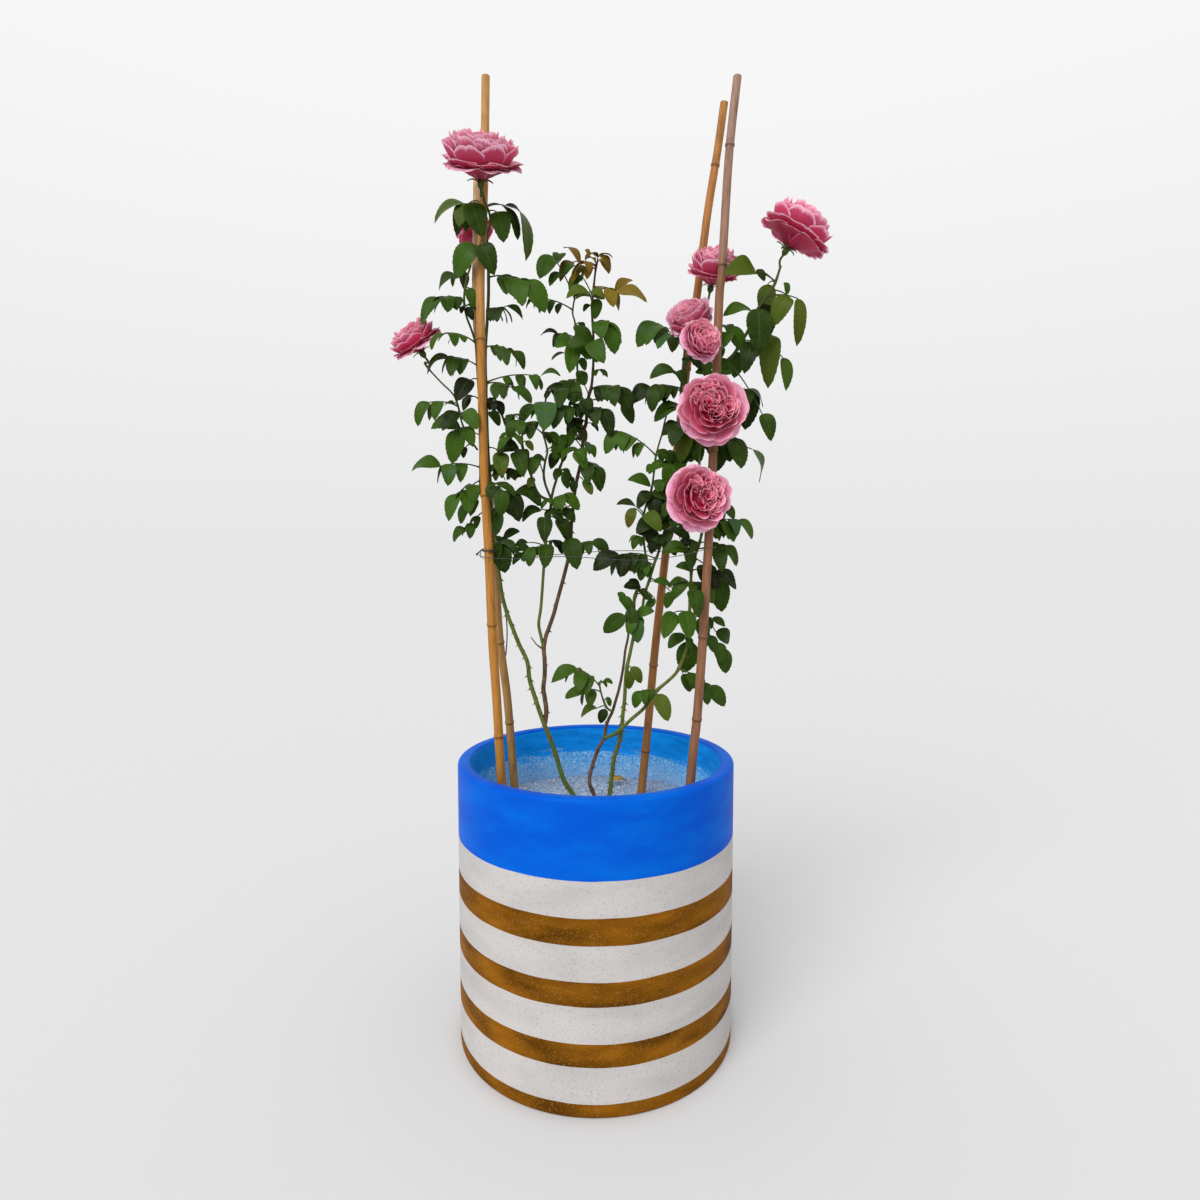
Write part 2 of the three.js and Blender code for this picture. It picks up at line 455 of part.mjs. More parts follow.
// Each bloom: centre across, up and depth, radius, direction it faces, and the way of its stalk
const BLOOMS = [
  {
    name: 'bloom_top_left',
    middle: [-152, 1197, -79],
    radius: 51,
    facing: [0.09, -0.49, 0.87],
    shoot: 'left_climbing_stem',
    way: [[-146, 1092, 0], [-141, 1106, -10], [-142, 1121, -28], [-148, 1135, -38], [-152, 1153, -45]],
  },
  {
    name: 'bloom_behind_cane',
    middle: [-163, 1100, 66],
    radius: 29,
    facing: [-0.45, 0.1, 0.9],
    shoot: 'left_side_shoot',
    way: [[-168, 1051, 6], [-174, 1058, 12], [-175, 1066, 30], [-171, 1074, 46]],
  },
  {
    name: 'bloom_left',
    middle: [-249, 959, -16],
    radius: 38,
    facing: [-0.5, -0.38, 0.77],
    shoot: 'left_bloom_shoot',
    way: [[-224, 914, -22], [-231, 924, -16]],
  },
  {
    name: 'bloom_between_canes',
    middle: [159, 1048, 1],
    radius: 37.2,
    facing: [0.12, -0.5, 0.85],
    shoot: 'right_climbing_shoot',
    way: [[117, 908, 6], [127, 935, 14], [139, 970, 18], [150, 1002, 16]],
  },
  {
    name: 'bloom_pair_upper',
    middle: [126, 986, -16],
    radius: 33,
    facing: [-0.45, -0.62, 0.64],
    shoot: 'right_climbing_shoot',
    way: [[121, 947, 0], [127, 956, -3]],
  },
  {
    name: 'bloom_pair_lower',
    middle: [145, 957, -72],
    radius: 29,
    facing: [0.4, -0.8, 0.2],
    shoot: 'right_green_branch',
    way: [[154, 879, -8], [149, 895, -14], [146, 920, -26], [142, 941, -36]],
  },
  {
    name: 'bloom_top_right',
    middle: [272, 1101, -20],
    radius: 49,
    facing: [0.5, -0.2, 0.84],
    shoot: 'upper_right_shoot',
    way: [[248, 1049, -18]],
  },
  {
    name: 'bloom_front_upper',
    middle: [158, 864, -92],
    radius: 45,
    facing: [-0.08, -0.99, 0.06],
    shoot: 'right_green_branch',
    way: [[147, 855, -10], [143, 854, -30], [144, 856, -52]],
  },
  {
    name: 'bloom_front_lower',
    middle: [144, 744, -88],
    radius: 43,
    facing: [0.22, -0.97, 0.02],
    shoot: 'right_green_branch',
    way: [[144, 736, -16], [137, 737, -36]],
  },
];

// Binding wire round all four canes, its twisted end, and a loose tail
const WIRE_RADIUS = 0.8;
const TIE_RADIUS = 0.9;
const WIRE_ROUTE = [
  [-158, 669, -40], [-158, 664, -52], [-151, 662, -60], [-143, 661, -59], [-118, 660, -59],
  [-77, 662, -59], [-35, 663, -60], [6, 660, -61], [47, 658, -62], [88, 660, -65], [129, 667, -68],
  [150, 673, -70], [162, 676, -64], [165, 676, -50], [149, 674, -10], [124, 672, 35], [109, 671, 60],
  [95, 670, 68], [81, 670, 66], [47, 671, 62], [6, 670, 58], [-49, 666, 55], [-104, 662, 52],
  [-136, 660, 51], [-150, 660, 46], [-155, 661, 30], [-158, 662, 0], [-160, 665, -30],
];
const TAIL_ROUTE = [[-129, 603, 50], [-125, 586, 52], [-123, 570, 53], [-123, 548, 53], [-125, 525, 53]];

// The twist of tie wire that grips the left front cane: turns, rise between turns and its free curl
const TIE_HEIGHT = 669;
const TIE_TURNS = 1.7;
const TIE_RISE = 4;
const TIE_CLEARANCE = 2.2;

function tieRoute() {
  const [across, , depth] = nearestOnRoute(CANES[0].route, -148, TIE_HEIGHT);
  const route = [];
  for (let step = 0; step <= 14; step += 1) {
    const angle = (2 * Math.PI * TIE_TURNS * step) / 14;
    route.push([
      across + (CANE_RADIUS + TIE_CLEARANCE) * Math.sin(angle),
      TIE_HEIGHT + (TIE_RISE * step) / 14,
      depth - (CANE_RADIUS + TIE_CLEARANCE) * Math.cos(angle),
    ]);
  }
  route.push([across - 14, TIE_HEIGHT - 1, depth - 5], [across - 17, TIE_HEIGHT - 4, depth - 7]);
  return route;
}

// A fallen leaf, curled on the soil
const DRY_LEAF = {
  base: new THREE.Vector3(22, 112, SOIL_LEVEL + 7),
  tip: new THREE.Vector3(47, 122, SOIL_LEVEL + 5),
  upperSide: new THREE.Vector3(0, -0.35, 1),
  width: 0.5,
};

// Park and Miller's generator, seeded afresh for each leaf and stem from its place, so that the small
// differences between leaves are the same each time
let draw = 1;
function seed(across, up) {
  draw = 20631 + 4001 * Math.abs(across) + 97 * Math.abs(up);
}

function between(low, high) {
  draw = (draw * 16807) % 2147483647;
  return low + ((high - low) * draw) / 2147483647;
}

function solidFrom(geometry) {
  geometry.deleteAttribute('normal');
  geometry.deleteAttribute('uv');
  const merged = mergeVertices(geometry, 1e-4);
  return new wasm.Manifold(new wasm.Mesh({
    numProp: 3,
    vertProperties: new Float32Array(merged.attributes.position.array),
    triVerts: new Uint32Array(merged.index.array),
  }));
}

function geometryFrom(points, triangles) {
  const geometry = new THREE.BufferGeometry();
  const flat = points.flatMap((point) => [point.x, point.y, point.z]);
  geometry.setAttribute('position', new THREE.Float32BufferAttribute(flat, 3));
  geometry.setIndex(triangles.flat());
  return geometry;
}

function meshFrom(name, solid, material) {
  const shape = solid.getMesh();
  const geometry = new THREE.BufferGeometry();
  geometry.setAttribute('position', new THREE.Float32BufferAttribute(shape.vertProperties, 3));
  geometry.setIndex(new THREE.Uint32BufferAttribute(shape.triVerts, 1));
  geometry.computeVertexNormals();
  const mesh = new THREE.Mesh(geometry, material);
  mesh.name = name;
  return mesh;
}

function joined(solids) {
  return wasm.Manifold.union(solids);
}

// The biggest body of a cut solid, without loose scraps
function largestBody(solid) {
  const bodies = solid.decompose();
  return bodies.reduce((best, body) => (body.volume() > best.volume() ? body : best));
}

// A closed tube through rings of { centre, radius }, carried along without twisting
function tube(rings, sides) {
  const points = [];
  const triangles = [];
  const along = (index) => {
    const before = rings[Math.max(index - 1, 0)].centre;
    const after = rings[Math.min(index + 1, rings.length - 1)].centre;
    return after.clone().sub(before).normalize();
  };
  let across = new THREE.Vector3(0, -1, 0);
  rings.forEach((ring, index) => {
    const direction = along(index);
    across = across.clone().addScaledVector(direction, -across.dot(direction)).normalize();
    const other = direction.clone().cross(across);
    for (let side = 0; side < sides; side += 1) {
      const angle = (2 * Math.PI * side) / sides;
      points.push(ring.centre.clone()
        .addScaledVector(across, ring.radius * Math.cos(angle))
        .addScaledVector(other, ring.radius * Math.sin(angle)));
    }
  });
  for (let index = 0; index < rings.length - 1; index += 1) {
    for (let side = 0; side < sides; side += 1) {
      const here = index * sides + side;
      const next = index * sides + ((side + 1) % sides);
      triangles.push([here, next, next + sides], [here, next + sides, here + sides]);
    }
  }
  const last = (rings.length - 1) * sides;
  for (let side = 1; side < sides - 1; side += 1) {
    triangles.push([0, side + 1, side], [last, last + side, last + side + 1]);
  }
  return solidFrom(geometryFrom(points, triangles));
}

function ringsAlong(points, steps, radiusAt) {
  const curve = new THREE.CatmullRomCurve3(points);
  return curve.getSpacedPoints(steps).map((centre, index) => (
    { centre, radius: radiusAt(index / steps) }
  ));
}

// The point of a polyline that lies nearest to a place across and up
function nearestOnRoute(route, across, up) {
  let best = null;
  for (let index = 0; index < route.length - 1; index += 1) {
    const [fromAcross, fromUp, fromDepth] = route[index];
    const [toAcross, toUp, toDepth] = route[index + 1];
    const stepAcross = toAcross - fromAcross;
    const stepUp = toUp - fromUp;
    const share = THREE.MathUtils.clamp(
      ((across - fromAcross) * stepAcross + (up - fromUp) * stepUp) / (stepAcross ** 2 + stepUp ** 2),
      0,
      1,
    );
    const place = [
      fromAcross + share * stepAcross,
      fromUp + share * stepUp,
      fromDepth + share * (toDepth - fromDepth),
    ];
    const distance = Math.hypot(place[0] - across, place[1] - up);
    if (best === null || distance < best.distance) {
      best = { distance, place };
    }
  }
  return best.place;
}

// A leaflet's own points: its waved edge from one side of its foot round the tip to the other, and its
// middle on the upper and lower faces. It is cupped, with both edges raised, and arched lengthwise.
function bladePoints({ base, tip, upperSide, width }, outline) {
  const along = tip.clone().sub(base);
  const length = along.length();
  along.normalize();
  const up = upperSide.clone().addScaledVector(along, -upperSide.dot(along)).normalize();
  const across = along.clone().cross(up);
  // It arches towards its upper side and, held up by its rib, towards the sky
  const archSide = up.clone();
  archSide.z += 1;
  const spine = (share) => base.clone()
    .addScaledVector(along, share * length)
    .addScaledVector(archSide, LEAFLET_ARCH * length * 4 * share * (1 - share));
  const edge = outline.map(([share, half], index) => spine(share)
    .addScaledVector(across, half * width * length)
    .addScaledVector(up, LEAFLET_CUP * Math.abs(half) * width * length)
    .addScaledVector(up, (index % 2 ? -1 : 1) * LEAFLET_WAVE * length));
  const middle = spine(0.5);
  return {
    edge,
    top: middle.clone().addScaledVector(up, LEAFLET_THICKNESS / 2),
    bottom: middle.clone().addScaledVector(up, -LEAFLET_THICKNESS / 2),
  };
}

// Triangles of a closed blade: a fan round its upper middle and the same fan round its lower middle
function fans(ring, top, bottom) {
  return ring.flatMap((here, index) => {
    const next = ring[(index + 1) % ring.length];
    return [[top, here, next], [bottom, next, here]];
  });
}

// A leaf without a stalk
function leaflet(blade) {
  const { edge, top, bottom } = bladePoints(blade, END_LEAFLET_OUTLINE);
  const points = [blade.base, ...edge, top, bottom];
  const ring = points.slice(0, -2).map((point, index) => index);
  return solidFrom(geometryFrom(points, fans(ring, ring.length, ring.length + 1)));
}

function bezierPoint(from, middle, to, share) {
  const rest = 1 - share;
  return from.clone().multiplyScalar(rest * rest)
    .addScaledVector(middle, 2 * rest * share)
    .addScaledVector(to, share * share);
}

// Where a leaf's stalk and leaflets run
function leafPlan(route, row) {
  const [baseAcross, baseUp, endAcross, endUp, tipAcross, tipUp, allPairs, depth, tilt, size] = row;
  seed(tipAcross, tipUp);
  const pairs = Math.min(allPairs, MOST_PAIRS);
  const root = nearestOnRoute(route, baseAcross, baseUp);
  const base = seen(...root);
  const endDepth = root[2] + depth;
  const end = seen(endAcross, endUp, endDepth);
  const flatTip = seen(tipAcross, tipUp, endDepth);
  const flatLength = Math.max(flatTip.distanceTo(end), SMALLEST_LEAFLET);
  const lean = Math.sqrt(Math.max(size * size - flatLength * flatLength, 0));
  const tip = seen(tipAcross, tipUp, endDepth + (depth > 0 ? lean : -lean));
  const length = tip.distanceTo(end);
  const tiltAngle = THREE.MathUtils.degToRad(tilt);
  const upperSide = new THREE.Vector3(between(-0.2, 0.2), -Math.cos(tiltAngle), Math.sin(tiltAngle));
  const middle = base.clone().lerp(end, 0.5);
  middle.z += STALK_RISE * base.distanceTo(end);
  const width = LEAFLET_WIDTH * between(...LEAFLET_WIDTH_SPREAD);
  const leaflets = [{ base: end, tip, upperSide, width }];
  // Where the stalk runs level its side leaflets hang down from it like a roof
  const level = THREE.MathUtils.clamp((Math.abs(end.x - base.x) / end.distanceTo(base) - 0.25) / 0.6, 0, 1);
  const pairSide = upperSide.clone().lerp(new THREE.Vector3(0, -0.2, 1), level).normalize();
  const spread = THREE.MathUtils.lerp(...SIDE_LEAFLET_SPREAD, level);
  const droop = THREE.MathUtils.lerp(...SIDE_LEAFLET_DROOP, level);
  PAIR_PLACES[pairs].forEach((share, index) => {
    const place = bezierPoint(base, middle, end, share);
    const ahead = bezierPoint(base, middle, end, share + 0.05).sub(place).normalize();
    const sideways = ahead.clone().cross(pairSide).normalize();
    const pairLength = length * SIDE_LEAFLET_SHARE * (1 - SIDE_LEAFLET_STEP * (pairs - 1 - index));
    for (const side of [1, -1]) {
      const direction = ahead.clone().multiplyScalar(between(...SIDE_LEAFLET_AHEAD))
        .addScaledVector(sideways, side * spread);
      direction.z -= droop;
      direction.normalize();
      leaflets.push({
        base: place,
        tip: place.clone().addScaledVector(direction, pairLength * between(...SIDE_LEAFLET_LENGTHS)),
        upperSide: pairSide.clone().addScaledVector(sideways, side * SIDE_LEAFLET_ROLL),
        width: LEAFLET_WIDTH * between(...LEAFLET_WIDTH_SPREAD),
      });
    }
  });
  return { base, middle, end, pairs, pairSide, leaflets };
}

// A whole compound leaf as one closed blade: its stalk has a ridge above and two side edges, and each
// leaflet's fans of triangles open out of a side edge, with the last leaflet at the stalk's end
function leafSolid(plan) {
  const points = [];
  const triangles = [];
  const add = (point) => points.push(point) - 1;
  const addBlade = (blade, outline, from, to, ridge) => {
    const { edge, top, bottom } = bladePoints(blade, outline);
    const ring = [from, ...edge.map(add), to];
    const [above, below] = [add(top), add(bottom)];
    for (let index = 0; index < ring.length - 1; index += 1) {
      triangles.push([above, ring[index], ring[index + 1]], [below, ring[index + 1], ring[index]]);
    }
    triangles.push([above, to, ridge], [above, ridge, from], [below, from, to]);
  };
  const stops = [0, ...PAIR_PLACES[plan.pairs], 1];
  let before = null;
  stops.forEach((share, stop) => {
    const centre = bezierPoint(plan.base, plan.middle, plan.end, share);
    const ahead = bezierPoint(plan.base, plan.middle, plan.end, share + 0.05).sub(centre).normalize();
    const sideways = ahead.clone().cross(plan.pairSide).normalize();
    const up = sideways.clone().cross(ahead);
    const radius = LEAF_STALK_RADIUS * (1.15 - 0.35 * share);
    const at = (side, along) => add(centre.clone()
      .addScaledVector(sideways, side * radius)
      .addScaledVector(ahead, along * radius)
      .addScaledVector(up, -radius / 2));
    const ridge = add(centre.clone().addScaledVector(up, radius));
    const isPair = stop > 0 && stop < stops.length - 1;
    const near = { right: at(1, isPair ? -1 : 0), left: at(-1, isPair ? -1 : 0) };
    const far = isPair ? { right: at(1, 1), left: at(-1, 1) } : near;
    if (before) {
      const { right, left } = before;
      triangles.push(
        [before.ridge, right, near.right], [before.ridge, near.right, ridge],
        [before.ridge, near.left, left], [before.ridge, ridge, near.left],
        [left, near.left, near.right], [left, near.right, right],
      );
    } else {
      triangles.push([ridge, near.left, near.right]);
    }
    if (isPair) {
      addBlade(plan.leaflets[2 * stop - 1], SIDE_LEAFLET_OUTLINE, near.right, far.right, ridge);
      addBlade(plan.leaflets[2 * stop], SIDE_LEAFLET_OUTLINE, far.left, near.left, ridge);
      triangles.push([near.left, far.left, far.right], [near.left, far.right, near.right]);
    }
    before = { ...far, ridge };
  });
  addBlade(plan.leaflets[0], END_LEAFLET_OUTLINE, before.right, before.left, before.ridge);
  return solidFrom(geometryFrom(points, triangles));
}

function shootRings(shoot) {
  const points = shoot.route.map((place) => seen(...place));
  const steps = Math.ceil(points.length * STEM_RINGS_PER_POINT);
  const [thick, thin] = shoot.radius;
  return ringsAlong(points, steps, (share) => thick + (thin - thick) * share);
}

// A three-sided point, with a vertical foot that is longer than it is wide
function thorn(foot, tip, outwards) {
  const up = new THREE.Vector3(0, 0, THORN_BASE / 2);
  const side = outwards.clone().cross(up).multiplyScalar(0.6);
  const points = [foot.clone().add(up), foot.clone().add(side).sub(up), foot.clone().sub(side).sub(up), tip];
  return solidFrom(geometryFrom(points, [[0, 2, 1], [0, 1, 3], [1, 2, 3], [2, 0, 3]]));
}

function stemSides(shoot) {
  return shoot.radius[0] < THIN_STEM ? THIN_STEM_SIDES : STEM_SIDES;
}

// Thorns point outwards and a little down, spread round the lower half of the stem
function thorns(shoot, rings) {
  const solids = [];
  const above = rings.filter(({ centre }) => centre.z > SOIL_LEVEL + 3 * THORN_LENGTH);
  seed(shoot.route[0][0], shoot.route[0][1]);
  for (let index = 0; index < shoot.thorns; index += 1) {
    const share = (0.5 * (index + between(0.2, 0.8))) / shoot.thorns;
    const ring = above[Math.round(share * (above.length - 1))];
    const angle = between(0, 2 * Math.PI);
    const outwards = new THREE.Vector3(Math.cos(angle), Math.sin(angle), -THORN_FALL).normalize();
    const foot = ring.centre.clone().addScaledVector(outwards, ring.radius * 0.4);
    const tip = ring.centre.clone().addScaledVector(outwards, ring.radius + THORN_LENGTH);
    solids.push(thorn(foot, tip, outwards));
  }
  return solids;
}

// A bloom's own stalk leaves its shoot, follows the given points and swells under the bloom
function bloomStalk(bloom) {
  const route = SHOOTS[bloom.shoot].route;
  const [firstAcross, firstUp] = bloom.way[0];
  const root = nearestOnRoute(route, firstAcross, firstUp);
  const { base, facing } = bloomFrame(bloom);
  const points = [
    seen(...root),
    ...bloom.way.slice(1).map((place) => seen(...place)),
    ...STALK_STRAIGHT.map((below) => base.clone().addScaledVector(facing, -below)),
  ];
  const rings = ringsAlong(points, points.length, () => BLOOM_STALK_RADIUS);
  CALYX_ENDS.forEach((below) => {
    rings.push({ centre: base.clone().addScaledVector(facing, -below), radius: CALYX_RADIUS });
  });
  return tube(rings, THIN_STEM_SIDES);
}

function shootSolid(name) {
  const shoot = SHOOTS[name];
  const rings = shootRings(shoot);
  const parts = [tube(rings, stemSides(shoot)), ...thorns(shoot, rings)];
  (LEAVES[name] || []).forEach((row) => parts.push(leafSolid(leafPlan(shoot.route, row))));
  BLOOMS.filter((bloom) => bloom.shoot === name).forEach((bloom) => parts.push(bloomStalk(bloom)));
  return joined(parts);
}

// The room that a stem takes up, a little wider and longer than the stem itself
function stemClearance(name) {
  const shoot = SHOOTS[name];
  const rings = shootRings(shoot).map(({ centre, radius }) => (
    { centre: centre.clone(), radius: radius + STEM_CLEARANCE }
  ));
  const [first, second] = rings;
  const [beforeLast, last] = rings.slice(-2);
  first.centre.add(first.centre.clone().sub(second.centre).setLength(STEM_CLEARANCE));
  last.centre.add(last.centre.clone().sub(beforeLast.centre).setLength(STEM_CLEARANCE));
  return tube(rings, stemSides(shoot));
}

// A bloom's middle, the point where its petals start and the direction it faces
function bloomFrame(bloom) {
  const facing = new THREE.Vector3(...bloom.facing).normalize();
  const middle = seen(...bloom.middle);
  const base = middle.clone().addScaledVector(facing, -BLOOM_DEPTH * bloom.radius);
  const hint = Math.abs(facing.z) > 0.9 ? new THREE.Vector3(0, -1, 0) : new THREE.Vector3(0, 0, 1);
  const across = hint.clone().addScaledVector(facing, -hint.dot(facing)).normalize();
  return { base, facing, across, other: facing.clone().cross(across) };
}

function petal(frame, radius, row, turn) {
  const outwards = frame.across.clone().multiplyScalar(Math.cos(turn))
    .addScaledVector(frame.other, Math.sin(turn));
  const sideways = frame.facing.clone().cross(outwards);
  const lean = (share) => THREE.MathUtils.degToRad(row.foot + (row.lip - row.foot) * share);
  const normal = (share) => outwards.clone().multiplyScalar(-Math.cos(lean(share)))
    .addScaledVector(frame.facing, Math.sin(lean(share)));
  // The petal follows an arc: its direction turns evenly from the lean at its foot to that at its lip
  const arc = (share) => {
    const turned = lean(share) - lean(0);
    const chord = turned ? (row.length * share * Math.sin(turned / 2)) / (turned / 2) : 0;
    const middleLean = lean(0) + turned / 2;
    return [chord * Math.sin(middleLean), chord * Math.cos(middleLean)];
  };
  const at = (share, half) => {
    const [out, up] = arc(share);
    const room = 2 * (row.out + out - PETAL_CUP / 2) * Math.tan(Math.PI / row.count);
    const width = Math.min(row.width, room * PETAL_SPREAD);
    return frame.base.clone()
      .addScaledVector(frame.facing, radius * (row.up + up))
      .addScaledVector(outwards, radius * (row.out + out))
      .addScaledVector(sideways, radius * half * width)
      .addScaledVector(normal(share), radius * PETAL_CUP * Math.abs(half));
  };
  // Its foot is a point inside the bloom's middle
  const foot = at(0, 0).addScaledVector(outwards, -radius * PETAL_FOOT_DEPTH);
  const edge = [foot, ...PETAL_EDGE.map(([share, half]) => at(share, half))];
  const middle = at(PETAL_MIDDLE, 0);
  const inner = middle.clone().addScaledVector(normal(PETAL_MIDDLE), PETAL_THICKNESS / 2);
  const outer = middle.clone().addScaledVector(normal(PETAL_MIDDLE), -PETAL_THICKNESS / 2);
  const ring = edge.map((point, index) => index);
  return solidFrom(geometryFrom([...edge, inner, outer], fans(ring, ring.length, ring.length + 1)));
}

function bloomSolid(bloom) {
  const frame = bloomFrame(bloom);
  const profile = BLOOM_CORE.map(([out, along]) => (
    new THREE.Vector2(out * bloom.radius, along * bloom.radius)
  ));
  const core = new THREE.LatheGeometry(profile, CORE_SEGMENTS);
  // The lathe turns about Y, which is laid along the direction the bloom faces
  core.rotateY(Math.PI / CORE_SEGMENTS);
  core.applyMatrix4(new THREE.Matrix4().makeBasis(frame.other, frame.facing, frame.across));
  core.translate(frame.base.x, frame.base.y, frame.base.z);
  const parts = [solidFrom(core)];
  PETAL_ROWS.forEach((row, rowIndex) => {
    for (let index = 0; index < row.count; index += 1) {
      const turn = ((index + 0.5 * (rowIndex % 2)) * 2 * Math.PI) / row.count;
      parts.push(petal(frame, bloom.radius, row, turn));
    }
  });
  return joined(parts);
}

// A cane is a bowed tube with a swollen ring at each joint
function caneRings(cane, extra) {
  const curve = new THREE.CatmullRomCurve3(cane.route.map((place) => seen(...place)));
  const length = curve.getLength();
  const stops = [];
  for (let index = 0; index <= CANE_SPANS; index += 1) {
    stops.push([index / CANE_SPANS, 1]);
  }
  const samples = curve.getSpacedPoints(CURVE_SAMPLES);
  cane.joints.forEach((height) => {
    const share = samples.findIndex((point) => point.z >= height) / CURVE_SAMPLES;
    const half = JOINT_HALF_LENGTH / length;
    stops.push([share - half, 1], [share, JOINT_SWELL], [share + half, 1]);
  });
  stops.sort((one, other) => one[0] - other[0]);
  return stops.map(([share, swell]) => (
    { centre: curve.getPointAt(share), radius: CANE_RADIUS * swell * (1 - CANE_TAPER * share) + extra }
  ));
}

function turned(profile, segments) {
  const geometry = new THREE.LatheGeometry(profile.map(([out, up]) => new THREE.Vector2(out, up)), segments);
  geometry.rotateX(Math.PI / 2);
  return solidFrom(geometry);
}

// A straight-sided pot with drain holes round the middle of its floor
function potSolid() {
  const inner = POT_RADIUS - POT_WALL;
  let pot = turned([
    [0, 0], [POT_RADIUS - POT_EDGE, 0], [POT_RADIUS, POT_EDGE],
    [POT_RADIUS, POT_HEIGHT - POT_EDGE], [POT_RADIUS - POT_EDGE, POT_HEIGHT],
    [inner + POT_EDGE, POT_HEIGHT], [inner, POT_HEIGHT - POT_EDGE],
    [inner, POT_FLOOR], [0, POT_FLOOR],
  ], POT_SEGMENTS);
  for (let index = 0; index < DRAIN_HOLES; index += 1) {
    const angle = ((index + 0.5) * 2 * Math.PI) / DRAIN_HOLES;
    const hole = new THREE.CylinderGeometry(DRAIN_RADIUS, DRAIN_RADIUS, 2 * POT_FLOOR + 2, DRAIN_SEGMENTS);
    hole.rotateX(Math.PI / 2);
    hole.translate(DRAIN_RING_RADIUS * Math.cos(angle), DRAIN_RING_RADIUS * Math.sin(angle), 0);
    pot = pot.subtract(solidFrom(hole));
  }
  return pot;
}

function soilSolid(caneHoles, stemHoles) {
  const edge = POT_RADIUS - POT_WALL - 2 * GAP;
  const bottom = POT_FLOOR + GAP;
  let soil = turned([
    [0, bottom], [edge, bottom], [edge, SOIL_LEVEL - SOIL_EDGE_DROP],
    [edge * SOIL_SHOULDER, SOIL_LEVEL + SOIL_DOME * (1 - SOIL_SHOULDER)],
    [0, SOIL_LEVEL + SOIL_DOME],
  ], SOIL_SEGMENTS);
  [...caneHoles, ...stemHoles].forEach((hole) => {
    soil = soil.subtract(hole);
  });
  return largestBody(soil);
}

function wireSolid(route, radius, steps) {
  const points = route.map((place) => seen(...place));
  return tube(ringsAlong(points, steps, () => radius), WIRE_SIDES);
}

function surface(colour, roughness) {
  return new THREE.MeshStandardMaterial({ color: colour, roughness, metalness: 0, side: THREE.DoubleSide });
}

const MATERIALS = {
  pot: surface('#0a62e0', 0.4),
  soil: surface('#8f9298', 0.95),
  cane_left_front: surface('#c98a2e', 0.5),
  cane_left_back: surface('#b07a48', 0.6),
  cane_right_front: surface('#a07866', 0.7),
  cane_right_back: surface('#c07a2c', 0.5),
  wire: surface('#4a4a44', 0.4),
  tie: surface('#1a1a1a', 0.5),
  bark: surface('#6b4a34', 0.8),
  green: surface('#3f6a30', 0.6),
  young: surface('#8a5a1c', 0.5),
  petals: surface('#e8709c', 0.6),
  dry: surface('#8a6a3a', 0.9),
};

const plant = new THREE.Group();

function place(name, solid, material) {
  plant.add(meshFrom(name, solid, material));
}

place('pot', potSolid(), MATERIALS.pot);

// The canes stand in holes in the soil that are a little wider and deeper than the canes
const caneHoles = CANES.map((cane) => {
  const rings = caneRings(cane, CANE_HOLE_CLEARANCE);
  rings[0].centre.z -= CANE_HOLE_CLEARANCE;
  return tube(rings, CANE_SIDES);
});
const stemHoles = Object.keys(SHOOTS).filter((name) => !SHOOTS[name].parent).map(stemClearance);
place('soil', soilSolid(caneHoles, stemHoles), MATERIALS.soil);
CANES.forEach((cane) => place(cane.name, tube(caneRings(cane, 0), CANE_SIDES), MATERIALS[cane.name]));

Object.keys(SHOOTS).forEach((name) => {
  const shoot = SHOOTS[name];
  let solid = shootSolid(name);
  if (shoot.parent) {
    solid = largestBody(solid.subtract(stemClearance(shoot.parent)));
  }
  place(name, solid, MATERIALS[shoot.tone]);
});

BLOOMS.forEach((bloom) => place(bloom.name, bloomSolid(bloom), MATERIALS.petals));

place('wire_loop', wireSolid(WIRE_ROUTE, WIRE_RADIUS, LOOP_STEPS), MATERIALS.wire);
place('twist_tie', wireSolid(tieRoute(), TIE_RADIUS, TIE_STEPS), MATERIALS.tie);
place('tie_tail', wireSolid(TAIL_ROUTE, TIE_RADIUS, TAIL_STEPS), MATERIALS.tie);
place('dry_leaf', leaflet(DRY_LEAF), MATERIALS.dry);

export default plant;
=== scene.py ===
import math
import random

import bpy
import numpy as np
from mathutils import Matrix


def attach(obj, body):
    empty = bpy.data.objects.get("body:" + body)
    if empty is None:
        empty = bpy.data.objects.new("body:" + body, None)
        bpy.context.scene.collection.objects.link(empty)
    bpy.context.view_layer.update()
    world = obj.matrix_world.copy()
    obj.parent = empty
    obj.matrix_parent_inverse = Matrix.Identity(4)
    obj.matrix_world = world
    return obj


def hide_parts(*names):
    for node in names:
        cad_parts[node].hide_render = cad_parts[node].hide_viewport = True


bl_info = {
    "name": "Climbing Rose on Canes",
    "version": (1, 0, 0),
    "blender": (4, 5, 0),
    "location": "3D View > Sidebar > Climbing Rose",
    "description": "Builds a climbing rose tied to bamboo canes in a painted pot",
    "category": "Add Mesh",
}

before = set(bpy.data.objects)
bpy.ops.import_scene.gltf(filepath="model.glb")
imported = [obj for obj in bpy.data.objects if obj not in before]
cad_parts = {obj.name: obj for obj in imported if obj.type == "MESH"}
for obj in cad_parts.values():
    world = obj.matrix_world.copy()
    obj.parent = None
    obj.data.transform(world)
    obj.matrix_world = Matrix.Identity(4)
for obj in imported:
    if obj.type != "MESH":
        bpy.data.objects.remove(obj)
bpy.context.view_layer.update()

# Sizes below are in millimetres, as the tables are; this turns them to metres.
MM = 0.001

# The plant was measured from 1.04 m in front of it. Places on it are across and up as seen on the
# upright plane through the middle of the pot, with the depth behind that plane.
VIEWER_ACROSS, VIEWER_DISTANCE, VIEWER_UP = 6, 1044, 673

